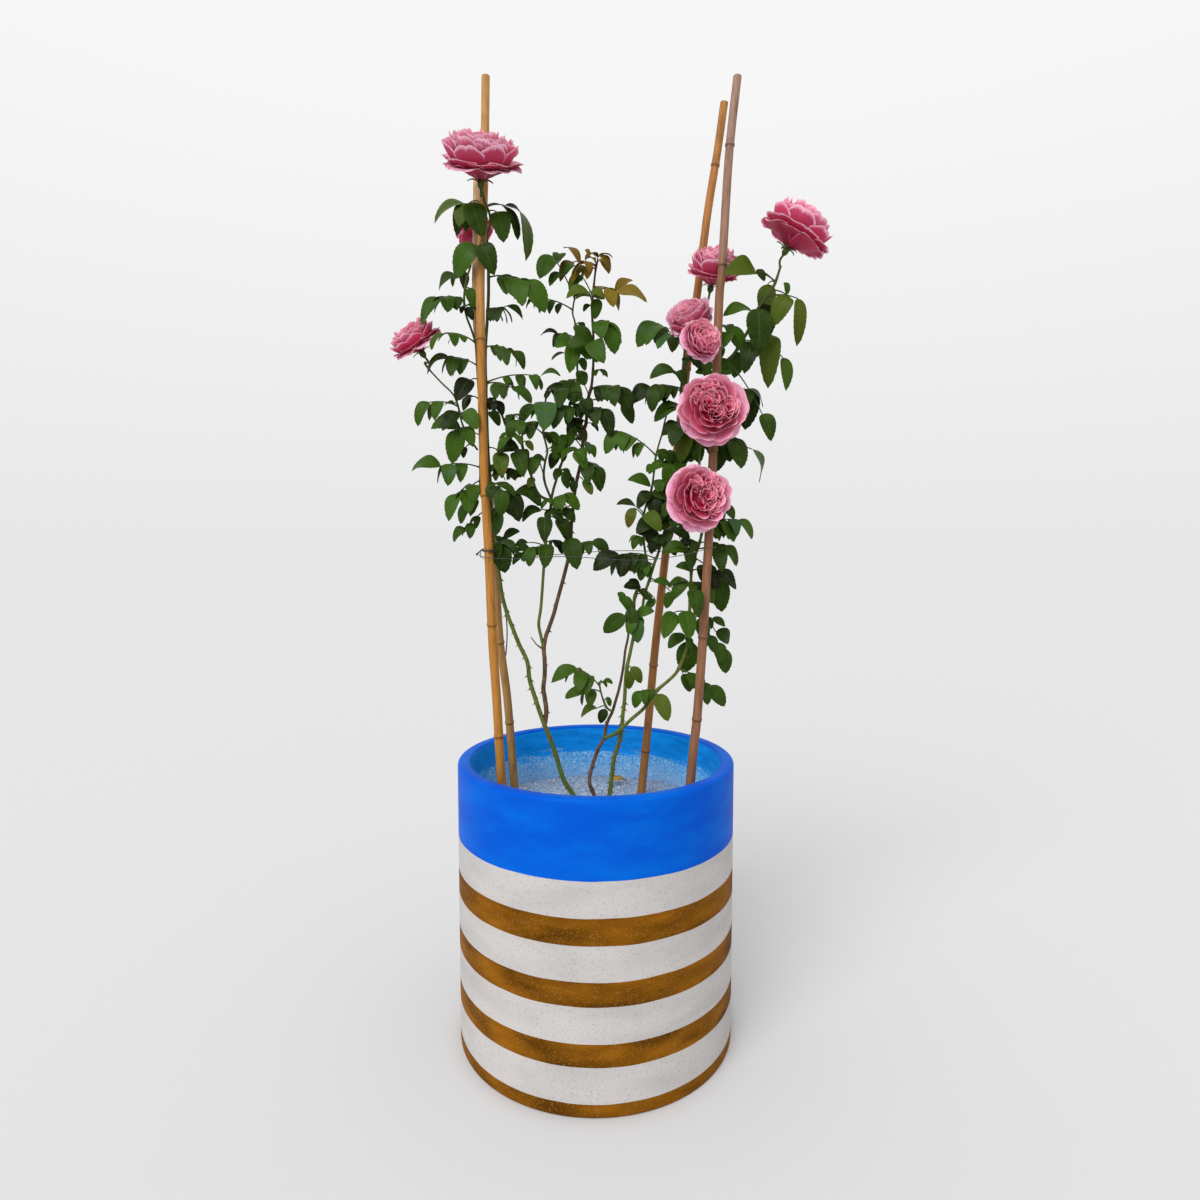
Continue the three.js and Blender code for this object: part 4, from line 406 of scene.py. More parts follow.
        (177, 927, 226, 856, 240, 820, 1, 0, 15, 0), (211, 948, 192, 939, 187, 904, 0, 14, 10, 38),
        (234, 1007, 226, 1002, 232, 957, 0, 15, 40, 0),
    ),
}

# Leaves that differ, by their tip (across, up): share of light, of yellow, of brown, and of the usual
# width for those whose sides have rolled in
LEAF_LOOKS = {
    (-87, 1062): (0.35, 0.2, 0, 0.8), (-217, 1110): (0.35, 0.05, 0, 1), (-128, 773): (0.1, 0.25, 0.25, 1),
    (-85, 807): (0.6, 0.5, 0, 1), (-93, 756): (0.6, 0.4, 0, 1), (-5, 747): (0.1, 0.1, 0.7, 1),
    (-40, 1009): (0.7, 0.35, 0, 1), (-62, 487): (0.05, 0, 0, 0.8), (-43, 466): (0.15, 0, 0, 0.8),
    (-22, 440): (0.2, 0.6, 0.1, 1), (101, 433): (0.75, 0.35, 0, 1), (63, 487): (0.8, 0.1, 0, 1),
    (46, 478): (0.8, 0.1, 0, 1), (115, 790): (0.6, 0.2, 0, 1), (44, 702): (0.3, 0.5, 0.8, 1),
    (89, 699): (0.5, 0.15, 0, 1), (233, 891): (0.6, 0.2, 0, 0.75), (259, 887): (0.2, 0, 0, 0.75),
    (228, 984): (0.45, 0.1, 0, 1), (274, 948): (0.7, 0.3, 0, 0.5), (239, 974): (0.6, 0.2, 0, 1),
    (176, 1044): (0.6, 0.1, 0, 1),
}

# Each bloom: middle (across, up, depth), radius, direction it faces, shoot, and its stalk's way
BLOOMS = {
    "bloom_top_left": (
        (-152, 1197, -79), 51, (0.09, -0.49, 0.87), "left_climbing_stem",
        ((-146, 1092, 0), (-141, 1106, -10), (-142, 1121, -28), (-148, 1135, -38), (-152, 1153, -45))),
    "bloom_behind_cane": (
        (-163, 1100, 66), 29, (-0.45, 0.1, 0.9), "left_side_shoot",
        ((-168, 1051, 6), (-174, 1058, 12), (-175, 1066, 30), (-171, 1074, 46))),
    "bloom_left": (
        (-249, 959, -16), 38, (-0.5, -0.38, 0.77), "left_bloom_shoot",
        ((-224, 914, -22), (-231, 924, -16))),
    "bloom_between_canes": (
        (159, 1048, 1), 37.2, (0.12, -0.5, 0.85), "right_climbing_shoot",
        ((117, 908, 6), (127, 935, 14), (139, 970, 18), (150, 1002, 16))),
    "bloom_pair_upper": (
        (126, 986, -16), 33, (-0.45, -0.62, 0.64), "right_climbing_shoot",
        ((121, 947, 0), (127, 956, -3))),
    "bloom_pair_lower": (
        (145, 957, -72), 29, (0.4, -0.8, 0.2), "right_green_branch",
        ((154, 879, -8), (149, 895, -14), (146, 920, -26), (142, 941, -36))),
    "bloom_top_right": (
        (272, 1101, -20), 49, (0.5, -0.2, 0.84), "upper_right_shoot",
        ((248, 1049, -18),)),
    "bloom_front_upper": (
        (158, 864, -92), 45, (-0.08, -0.99, 0.06), "right_green_branch",
        ((147, 855, -10), (143, 854, -30), (144, 856, -52))),
    "bloom_front_lower": (
        (144, 744, -88), 43, (0.22, -0.97, 0.02), "right_green_branch",
        ((144, 736, -16), (137, 737, -36))),
}

# Binding wire round the canes, and the loose tail of a tie
LOOP_ROUTE = (
    (-158, 669, -40), (-158, 664, -52), (-151, 662, -60), (-143, 661, -59), (-118, 660, -59),
    (-77, 662, -59), (-35, 663, -60), (6, 660, -61), (47, 658, -62), (88, 660, -65), (129, 667, -68),
    (150, 673, -70), (162, 676, -64), (165, 676, -50), (149, 674, -10), (124, 672, 35), (109, 671, 60),
    (95, 670, 68), (81, 670, 66), (47, 671, 62), (6, 670, 58), (-49, 666, 55), (-104, 662, 52),
    (-136, 660, 51), (-150, 660, 46), (-155, 661, 30), (-158, 662, 0), (-160, 665, -30),
)
TAIL_ROUTE = ((-129, 603, 50), (-125, 586, 52), (-123, 570, 53), (-123, 548, 53), (-125, 525, 53))


def linear(code):
    """One sRGB hex colour as linear red, green, blue and alpha."""
    parts = [int(code[i:i + 2], 16) / 255 for i in (1, 3, 5)]
    return [p / 12.92 if p <= 0.04045 else ((p + 0.055) / 1.055) ** 2.4 for p in parts] + [1.0]


def colour(name, code, description):
    """A colour setting."""
    return bpy.props.FloatVectorProperty(
        name=name, description=description, subtype="COLOR", size=4, min=0, max=1, default=linear(code))


def length(name, millimetres, description):
    """A length setting."""
    return bpy.props.FloatProperty(
        name=name, description=description, unit="LENGTH", min=0.0001, default=millimetres * MM)


class PotSettings(bpy.types.PropertyGroup):
    """Sizes and paints of the pot."""
    radius: length("Radius", 190, "Outer radius of the pot")
    height: length("Height", 386, "Height of the pot")
    wall: length("Wall", 18, "Thickness of the wall")
    rim: length("Rim rounding", 5, "Radius of the rounded rim")
    blue: colour("Blue", "#0450C0", "Top band and inside of the rim")
    white: colour("White", "#BCB8B6", "Pale bands")
    gold: colour("Gold", "#724608", "Bronze-gold bands")


class CaneSettings(bpy.types.PropertyGroup):
    """Sizes and colours of the canes."""
    radius: length("Radius", 6.2, "Radius of a cane at its foot")
    left_front: colour("Left front", "#A6702C", "Skin of the left front cane")
    left_front_top: colour("Left front, top", "#B08248", "Skin of the left front cane near its top")
    left_back: colour("Left back", "#97703F", "Skin of the left back cane")
    left_back_top: colour("Left back, top", "#BC9C74", "Skin of the left back cane near its top")
    right_front: colour("Right front", "#80583E", "Skin of the right front cane")
    right_front_top: colour("Right front, top", "#947464", "Skin of the right front cane near its top")
    right_back: colour("Right back", "#946232", "Skin of the right back cane")
    right_back_top: colour("Right back, top", "#A87038", "Skin of the right back cane near its top")


class PlantSettings(bpy.types.PropertyGroup):
    """Colours and small sizes of the plant."""
    leaf: colour("Leaf", "#34500E", "Upper side of a full-grown leaflet")
    leaf_dark: colour("Leaf, dark", "#121802", "Upper side of the darkest leaflets")
    olive: colour("Leaf, olive", "#4C5212", "Upper side of olive leaflets")
    bronze: colour("Leaf, young", "#6E5A10", "Upper side of young leaflets")
    stem: colour("Green stem", "#566822", "Bark of green stems")
    bark: colour("Brown stem", "#5A4230", "Bark of old stems")
    petal: colour("Petal", "#EC7CA2", "Inside of a petal")
    petal_heart: colour("Petal, heart", "#F8527E", "Petals at the heart of a bloom")
    petal_back: colour("Petal back", "#A0183C", "Outside of a petal")
    thorn: length("Thorn", 5.5, "Length of a thorn")
    stalk: length("Leaf stalk", 0.9, "Radius of a leaf's stalk")


class WireSettings(bpy.types.PropertyGroup):
    """Sizes of the ties."""
    loop: length("Binding wire", 0.5, "Radius of the binding wire")
    tie: length("Tie", 0.9, "Radius of the twisted tie")


def seen(across, up, depth):
    """A place on the plant in millimetres, moved along the line of sight to its depth."""
    reach = (depth + VIEWER_DISTANCE) / VIEWER_DISTANCE
    return np.array((
        VIEWER_ACROSS + (across - VIEWER_ACROSS) * reach, depth, VIEWER_UP + (up - VIEWER_UP) * reach))


def unit(vector):
    """The vector at length 1."""
    return vector / np.linalg.norm(vector)


def level_to(vector, axis):
    """The part of a vector square to an axis, at length 1."""
    return unit(vector - axis * vector.dot(axis))


# Park and Miller's two numbers, and how a seed follows from a place, the same as in the solids
MULTIPLIER, MODULUS = 16807, 2147483647
FIRST_SEED, ACROSS_STEP, UP_STEP = 20631, 4001, 97


class Draws:
    """Park and Miller's generator, seeded from a place, so that each leaf differs the same way again."""

    def __init__(self, across, up):
        self.state = FIRST_SEED + ACROSS_STEP * abs(across) + UP_STEP * abs(up)

    def between(self, low, high):
        self.state = self.state * MULTIPLIER % MODULUS
        return low + (high - low) * self.state / MODULUS


class Form:
    """The points and faces of one piece, in millimetres, while it is made."""

    def __init__(self):
        self.points, self.faces, self.slots, self.place, self.tone = [], [], [], [], []
        self.count = 0

    def add(self, points, faces, slot, place=None, tone=(0, 0, 0)):
        """Add points with faces of one material slot. place is where each point lies on its leaf,
        petal or stem, and tone is how that leaf or petal differs from the others."""
        points = np.asarray(points, dtype=float)
        self.points.append(points)
        self.place.append(np.zeros_like(points) if place is None else np.asarray(place, dtype=float))
        self.tone.append(np.tile(np.asarray(tone, dtype=float), (len(points), 1)))
        start = self.count
        self.faces += [[start + i for i in face] for face in faces]
        self.slots += [slot] * len(faces)
        self.count += len(points)

    def make(self, name, materials, crease=50):
        """Make the piece, in metres, with its values kept as the attributes place and tone."""
        mesh = bpy.data.meshes.new(name)
        mesh.from_pydata((np.concatenate(self.points) * MM).tolist(), [], self.faces)
        for key, rows in (("place", self.place), ("tone", self.tone)):
            layer = mesh.attributes.new(key, "FLOAT_VECTOR", "POINT")
            layer.data.foreach_set("vector", np.concatenate(rows).ravel())
        for material in materials:
            mesh.materials.append(material)
        mesh.polygons.foreach_set("material_index", self.slots)
        mesh.shade_smooth()
        mesh.set_sharp_from_angle(angle=math.radians(crease))
        piece = bpy.data.objects.new(name, mesh)
        bpy.context.collection.objects.link(piece)
        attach(piece, "root")
        return piece


def shell_faces(rows, columns, pointed_tip):
    """Faces of a closed shell: an upper and a lower grid that share their edge points. It starts at one
    point, and ends at one where its tip is pointed. Upper points come first, then lower ones."""
    last = rows if pointed_tip else rows + 1
    upper_count = 1 + (last - 1) * (columns + 1) + (1 if pointed_tip else 0)

    def index(row, column, lower):
        if row == 0:
            return 0
        if pointed_tip and row == rows:
            return upper_count - 1
        if not lower or column in (0, columns) or row == rows:
            return 1 + (row - 1) * (columns + 1) + column
        return upper_count + (row - 1) * (columns - 1) + column - 1

    faces = []
    for lower in (False, True):
        for row in range(rows):
            for column in range(columns):
                corners = [(row, column), (row, column + 1), (row + 1, column + 1), (row + 1, column)]
                face = list(dict.fromkeys(index(*corner, lower) for corner in corners))
                faces.append(face[::-1] if lower else face)
    return faces


def smooth_way(points, steps):
    """A smooth curve through points, with so many steps between two of them."""
    points = np.asarray(points, dtype=float)
    ends = np.vstack((2 * points[0] - points[1], points, 2 * points[-1] - points[-2]))
    shares = np.linspace(0, 1, steps, endpoint=False)[:, None]
    way = []
    for before, start, end, after in zip(ends, ends[1:], ends[2:], ends[3:]):
        way.append(0.5 * (
            2 * start + (end - before) * shares + (2 * before - 5 * start + 4 * end - after) * shares ** 2
            + (3 * start - before - 3 * end + after) * shares ** 3))
    return np.vstack(way + [points[-1:]])


def traced(route, steps):
    """A smooth curve through places of the plant as they were seen."""
    return smooth_way([seen(*place) for place in route], steps)


def bump(away, height, place, width):
    """A rounded bump on a line, for its distance from a place on it."""
    return height * np.exp(-((away - place) / width) ** 2)


def tube(form, way, radii, sides, slot, tone=(0, 0, 0), extra=None):
    """A closed tube along a way. place is the share of its length, the turn round it and extra."""
    way = np.asarray(way, dtype=float)
    steps = np.gradient(way, axis=0)
    angles = 2 * np.pi * np.arange(sides) / sides
    across = np.array((0.0, -1.0, 0.0)) if abs(unit(steps[0])[1]) < 0.9 else np.array((0.0, 0.0, 1.0))
    points, place = [], []
    for step, (centre, radius) in enumerate(zip(way, radii)):
        ahead = unit(steps[step])
        across = level_to(across, ahead)
        other = np.cross(ahead, across)
        points.append(
            centre + radius * (np.cos(angles)[:, None] * across + np.sin(angles)[:, None] * other))
        share = step / (len(way) - 1)
        place.append([(share, angle, 0 if extra is None else extra[step]) for angle in angles])
    faces = [list(range(sides))[::-1], list(range((len(way) - 1) * sides, len(way) * sides))]
    for step in range(len(way) - 1):
        for side in range(sides):
            here, after = step * sides + side, step * sides + (side + 1) % sides
            faces.append([here, after, after + sides, here + sides])
    form.add(np.vstack(points), faces, slot, np.vstack(place), tone)


def turned(form, profile, sides, slot):
    """A ring or cup turned about +Z from a closed profile of (out, up)."""
    angles = 2 * np.pi * np.arange(sides) / sides
    points = [(out * math.cos(a), out * math.sin(a), up) for out, up in profile for a in angles]
    count = len(profile)
    faces = []
    for ring in range(count):
        for side in range(sides):
            here, after = ring * sides, (ring + 1) % count * sides
            nxt = (side + 1) % sides
            faces.append([here + side, here + nxt, after + nxt, after + side])
    form.add(points, faces, slot)


def add(tree, kind, inputs, out=0, stops=(), **settings):
    """Add a shader node with its settings, values and links, and give the output asked for."""
    node = tree.nodes.new("ShaderNode" + kind)
    for name, value in settings.items():
        setattr(node, name, value)
    for key, value in inputs.items():
        if isinstance(value, bpy.types.NodeSocket):
            tree.links.new(value, node.inputs[key])
        else:
            node.inputs[key].default_value = value
    for index, (position, code) in enumerate(stops):
        ramp = node.color_ramp.elements
        stop = ramp[index] if index < 2 else ramp.new(position)
        stop.position, stop.color = position, linear(code) if isinstance(code, str) else code
    return node.outputs[out] if node.outputs else None


def new_material(name):
    """A material without nodes, its tree, and the place on the piece in metres."""
    material = bpy.data.materials.new(name)
    material.use_nodes = True
    tree = material.node_tree
    tree.nodes.clear()
    return material, tree, add(tree, "TexCoord", {}, "Object")


def finish(tree, base, roughness, bumps=None, relief=0.3, **sockets):
    """Close a material with its shader. relief is the height of its bumps in millimetres."""
    inputs = {"Base Color": base, "Roughness": roughness}
    if bumps is not None:
        inputs["Normal"] = add(tree, "Bump", {"Height": bumps, "Distance": relief * MM})
    inputs.update({key.replace("_", " "): value for key, value in sockets.items()})
    add(tree, "OutputMaterial", {"Surface": add(tree, "BsdfPrincipled", inputs)})


def shade(code, share):
    """A colour darkened or lightened by a share."""
    parts = linear(code) if isinstance(code, str) else code
    return [min(1, part * share) for part in parts[:3]] + [1]


# A Mix node's sockets for its share, its two colours and their mixture
SHARE, FIRST, SECOND, MIXTURE = 0, 6, 7, 2
# A MapRange node's sockets 0 to 4 are its value, the two ends it comes from and the two it goes to
RGBA = {"data_type": "RGBA"}


def painted_cement(settings):
    """Fibre cement with masked bands of satin paint: crisp edges, a low sheen, and the cement's fine
    pits showing through as specks. The gold paint holds bronze powder, so it clouds light and dark."""
    material, tree, space = new_material("Painted fibre cement")
    up = add(tree, "SeparateXYZ", {0: space}, "Z")
    # The masking tape left edges that wander by about a millimetre
    wander = add(tree, "TexNoise", {"Vector": space, "Scale": 1 / (60 * MM)})
    wander = add(tree, "Math", {0: wander, 1: 2.4 * MM, 2: -1.2 * MM}, operation="MULTIPLY_ADD")
    height = add(tree, "Math", {0: up, 1: wander})
    # Each paint was brushed on round the pot, so its clouds lie along the bands
    brushed = add(tree, "VectorMath", {0: space, 1: (1, 1, 3)}, operation="MULTIPLY")
    clouds = add(tree, "TexNoise", {"Vector": brushed, "Scale": 1 / (80 * MM), "Detail": 5})
    specks = add(tree, "TexNoise", {"Vector": space, "Scale": 1 / (2.2 * MM), "Roughness": 0.7})
    pits = add(tree, "MapRange", {0: specks, 1: 0.57, 2: 0.66, 4: 0.5})
    gold = add(tree, "ValToRGB", {0: clouds}, stops=(
        (0.34, shade(settings.gold, 0.5)), (0.5, settings.gold), (0.66, shade(settings.gold, 1.5))))
    gold = add(tree, "Mix", {SHARE: pits, FIRST: gold, SECOND: linear("#9A7440")}, MIXTURE, **RGBA)
    white = add(tree, "ValToRGB", {0: clouds}, stops=(
        (0.3, shade(settings.white, 0.86)), (0.6, settings.white)))
    white = add(tree, "Mix", {SHARE: pits, FIRST: white, SECOND: linear("#8B847D")}, MIXTURE, **RGBA)
    blue = add(tree, "ValToRGB", {0: clouds}, stops=(
        (0.4, settings.blue), (0.7, "#0462CA")))
    share = add(tree, "Math", {0: height, 1: settings.height}, operation="DIVIDE")
    # White where the bands are white, then blue above the last edge
    edges = [(0, "#000000")] + [
        (edge * MM / settings.height, "#FFFFFF" if band % 2 == 0 else "#000000")
        for band, edge in enumerate(POT_BANDS)]
    ramp = add(tree, "ValToRGB", {0: share}, stops=edges)
    ramp.node.color_ramp.interpolation = "CONSTANT"
    base = add(tree, "Mix", {SHARE: ramp, FIRST: gold, SECOND: white}, MIXTURE, **RGBA)
    is_blue = add(tree, "Math", {0: height, 1: POT_BANDS[-1] * MM}, operation="GREATER_THAN")
    base = add(tree, "Mix", {SHARE: is_blue, FIRST: base, SECOND: blue}, MIXTURE, **RGBA)
    roughness = add(tree, "MapRange", {0: is_blue, 3: 0.5, 4: 0.4})
    finish(tree, base, roughness, specks, 0.25, Specular_IOR_Level=0.02)
    return material


def washed_cement():
    """The same cement inside: bright blue to 40 mm below the rim, where a dry brush left a ragged edge,
    and under it a thin blue wash that pale cement shows through in specks, more of it lower down."""
    material, tree, space = new_material("Brushed and bare fibre cement")
    up = add(tree, "SeparateXYZ", {0: space}, "Z")
    # Brush marks run round the pot
    brushed = add(tree, "VectorMath", {0: space, 1: (1, 1, 4)}, operation="MULTIPLY")
    marks = add(tree, "TexNoise", {"Vector": brushed, "Scale": 1 / (40 * MM), "Detail": 6, "Roughness": 0.7})
    wander = add(tree, "Math", {0: marks, 1: 60 * MM, 2: -30 * MM}, operation="MULTIPLY_ADD")
    height = add(tree, "Math", {0: up, 1: wander})
    painted = add(tree, "MapRange", {0: height, 1: 0.34, 2: 0.35})
    specks = add(tree, "TexNoise", {"Vector": space, "Scale": 1 / (3.2 * MM), "Detail": 4, "Roughness": 0.7})
    wash = add(tree, "ValToRGB", {0: specks}, stops=(
        (0.36, "#1E7ED0"), (0.48, "#4CA2DE"), (0.58, "#7CBEE8"), (0.68, "#C0DCF0")))
    pale = add(tree, "MapRange", {0: height, 1: 0.345, 2: 0.3, 4: 0.55})
    bare = add(tree, "Mix", {SHARE: pale, FIRST: wash, SECOND: linear("#A8BCD0")}, MIXTURE, **RGBA)
    bright = add(tree, "ValToRGB", {0: marks}, stops=((0.35, "#0472C4"), (0.65, "#0C92EC")))
    base = add(tree, "Mix", {SHARE: painted, FIRST: bare, SECOND: bright}, MIXTURE, **RGBA)
    roughness = add(tree, "MapRange", {0: painted, 3: 0.85, 4: 0.45})
    finish(tree, base, roughness, specks, 0.5, Specular_IOR_Level=0.08)
    return material


def gritty_soil():
    """Potting soil under crushed stone and paint dust: dull, with pale and blue-grey grains of one to
    three millimetres and darker gaps between them."""
    material, tree, space = new_material("Gritty potting soil")
    grains = add(tree, "TexNoise", {"Vector": space, "Scale": 1 / (2.6 * MM), "Detail": 3})
    patches = add(tree, "TexNoise", {"Vector": space, "Scale": 1 / (24 * MM), "Detail": 3})
    earth = add(tree, "ValToRGB", {0: grains}, stops=(
        (0.34, "#566C84"), (0.46, "#7E98B4"), (0.56, "#A2B6CA"), (0.66, "#CDD8E2")))
    base = add(tree, "Mix", {
        SHARE: add(tree, "MapRange", {0: patches, 1: 0.52, 2: 0.68, 4: 0.4}), FIRST: earth,
        SECOND: linear("#8A8276")}, MIXTURE, **RGBA)
    finish(tree, base, 0.95, grains, 1.5)
    return material


def bamboo(name, skin, top):
    """Dried bamboo cane: a smooth waxy skin with fine lengthwise streaks, cloudy where the wax has
    worn, and a thin dark line under each joint. Sun and rain have bleached it near its top."""
    material, tree, space = new_material(name)
    along, joint = (
        add(tree, "SeparateXYZ", {0: add(tree, "Attribute", {}, "Vector", attribute_name="place")}, axis)
        for axis in "XZ")
    lengthwise = add(tree, "VectorMath", {0: space, 1: (1, 1, 0.04)}, operation="MULTIPLY")
    streaks = add(tree, "TexNoise", {"Vector": lengthwise, "Scale": 1 / (1.8 * MM), "Detail": 4})
    mottled = add(tree, "VectorMath", {0: space, 1: (1, 1, 0.3)}, operation="MULTIPLY")
    mottle = add(tree, "TexNoise", {
        "Vector": mottled, "Scale": 1 / (11 * MM), "Detail": 5, "Roughness": 0.65})
    bleached = add(tree, "MapRange", {0: along, 1: 0.72, 2: 0.9})
    base = add(tree, "Mix", {SHARE: bleached, FIRST: skin, SECOND: top}, MIXTURE, **RGBA)
    fibres = add(tree, "ValToRGB", {0: streaks}, stops=(
        (0.3, (0.74, 0.7, 0.66, 1)), (0.52, (1, 1, 1, 1)), (0.72, (1.15, 1.15, 1.15, 1))))
    base = add(tree, "Mix", {SHARE: 1, FIRST: base, SECOND: fibres}, MIXTURE, blend_type="MULTIPLY", **RGBA)
    worn = add(tree, "MapRange", {0: mottle, 1: 0.5, 2: 0.68, 4: 0.6})
    base = add(tree, "Mix", {SHARE: worn, FIRST: base, SECOND: shade(skin, 0.42)}, MIXTURE, **RGBA)
    base = add(tree, "Mix", {SHARE: joint, FIRST: base, SECOND: linear("#3A2412")}, MIXTURE, **RGBA)
    finish(tree, base, 0.5, streaks, 0.2, Specular_IOR_Level=0.2)
    return material


def stem_skin(name, skin, flush, roughness):
    """The skin of a rose stem: smooth when green, with a red-brown flush in patches, and split into
    fine grey-brown strips when old."""
    material, tree, space = new_material(name)
    lengthwise = add(tree, "VectorMath", {0: space, 1: (1, 1, 0.15)}, operation="MULTIPLY")
    streaks = add(tree, "TexNoise", {"Vector": lengthwise, "Scale": 1 / (2 * MM), "Detail": 4})
    blotches = add(tree, "TexNoise", {"Vector": space, "Scale": 1 / (16 * MM), "Detail": 4})
    base = add(tree, "ValToRGB", {0: streaks}, stops=(
        (0.32, shade(skin, 0.5)), (0.55, skin), (0.75, shade(skin, 1.25))))
    flushed = add(tree, "MapRange", {0: blotches, 1: 0.5, 2: 0.66, 4: 0.4})
    base = add(tree, "Mix", {SHARE: flushed, FIRST: base, SECOND: flush}, MIXTURE, **RGBA)
    # The skin darkens higher up, between heights of 0.58 m and 0.74 m
    high = add(tree, "MapRange", {
        0: add(tree, "SeparateXYZ", {0: space}, "Z"), 1: 0.58, 2: 0.74, 4: 0.75})
    base = add(tree, "Mix", {SHARE: high, FIRST: base, SECOND: shade(skin, 0.35)}, MIXTURE, **RGBA)
    finish(tree, base, roughness, streaks, 0.25, Specular_IOR_Level=0.2)
    return material


def leaf_blade(name, dark, light, olive):
    """A rose leaflet: waxy and dark above with a paler midrib and side veins that run to the teeth,
    dull and olive below. The wax gives a broad soft sheen that shows the puckers between the veins."""
    material, tree, space = new_material(name)
    along, across, upper = (
        add(tree, "SeparateXYZ", {0: add(tree, "Attribute", {}, "Vector", attribute_name="place")}, axis)
        for axis in "XYZ")
    tone, yellow, brown = (
        add(tree, "SeparateXYZ", {0: add(tree, "Attribute", {}, "Vector", attribute_name="tone")}, axis)
        for axis in "XYZ")
    edge = add(tree, "Math", {0: across}, operation="ABSOLUTE")
    # Six or seven side veins leave the midrib and bend towards the tip
    run = add(tree, "Math", {0: edge, 1: -0.3, 2: along}, operation="MULTIPLY_ADD")
    run = add(tree, "Math", {0: run, 1: 7.0}, operation="MULTIPLY")
    vein = add(tree, "Math", {0: run, 1: 0.5}, operation="PINGPONG")
    vein = add(tree, "MapRange", {0: vein, 2: 0.13, 3: 0.45, 4: 0})
    rib = add(tree, "MapRange", {0: edge, 1: 0.02, 2: 0.09, 3: 1, 4: 0})
    veins = add(tree, "Math", {0: vein, 1: rib}, operation="MAXIMUM")
    patches = add(tree, "TexNoise", {"Vector": space, "Scale": 1 / (9 * MM)})
    depth = add(tree, "MapRange", {0: patches, 1: 0.3, 2: 0.7, 3: -0.08, 4: 0.08})
    depth = add(tree, "Math", {0: tone, 1: depth})
    # Painted reflection: the last stop, a blue-grey green, stands for pale sky mirrored on the leaflets whose
    # tone comes out highest
    base = add(tree, "ValToRGB", {0: depth}, stops=(
        (0.12, dark), (0.66, light), (0.86, shade(light, 1.15)), (1, "#3A5638")))
    base = add(tree, "Mix", {SHARE: yellow, FIRST: base, SECOND: olive}, MIXTURE, **RGBA)
    rib_share = add(tree, "Math", {0: veins, 1: 0.16}, operation="MULTIPLY")
    base = add(tree, "Mix", {SHARE: rib_share, FIRST: base, SECOND: linear("#5E7A34")}, MIXTURE, **RGBA)
    spots = add(tree, "TexNoise", {"Vector": space, "Scale": 1 / (6 * MM)})
    spots = add(tree, "MapRange", {0: spots, 1: 0.5, 2: 0.56})
    spots = add(tree, "Math", {0: spots, 1: brown}, operation="MULTIPLY")
    towards_tip = add(tree, "MapRange", {0: along, 1: 0.3, 2: 0.7})
    spots = add(tree, "Math", {0: spots, 1: towards_tip}, operation="MULTIPLY")
    base = add(tree, "Mix", {SHARE: spots, FIRST: base, SECOND: linear("#7A4A1E")}, MIXTURE, **RGBA)
    under = add(tree, "MapRange", {0: upper, 1: 0.5, 2: 0.4, 4: 0.7})
    base = add(tree, "Mix", {SHARE: under, FIRST: base, SECOND: linear("#444C16")}, MIXTURE, **RGBA)
    puckers = add(tree, "Math", {0: veins, 1: -0.4, 2: patches}, operation="MULTIPLY_ADD")
    finish(tree, base, 0.42, puckers, 0.5, Specular_IOR_Level=0.1)
    return material


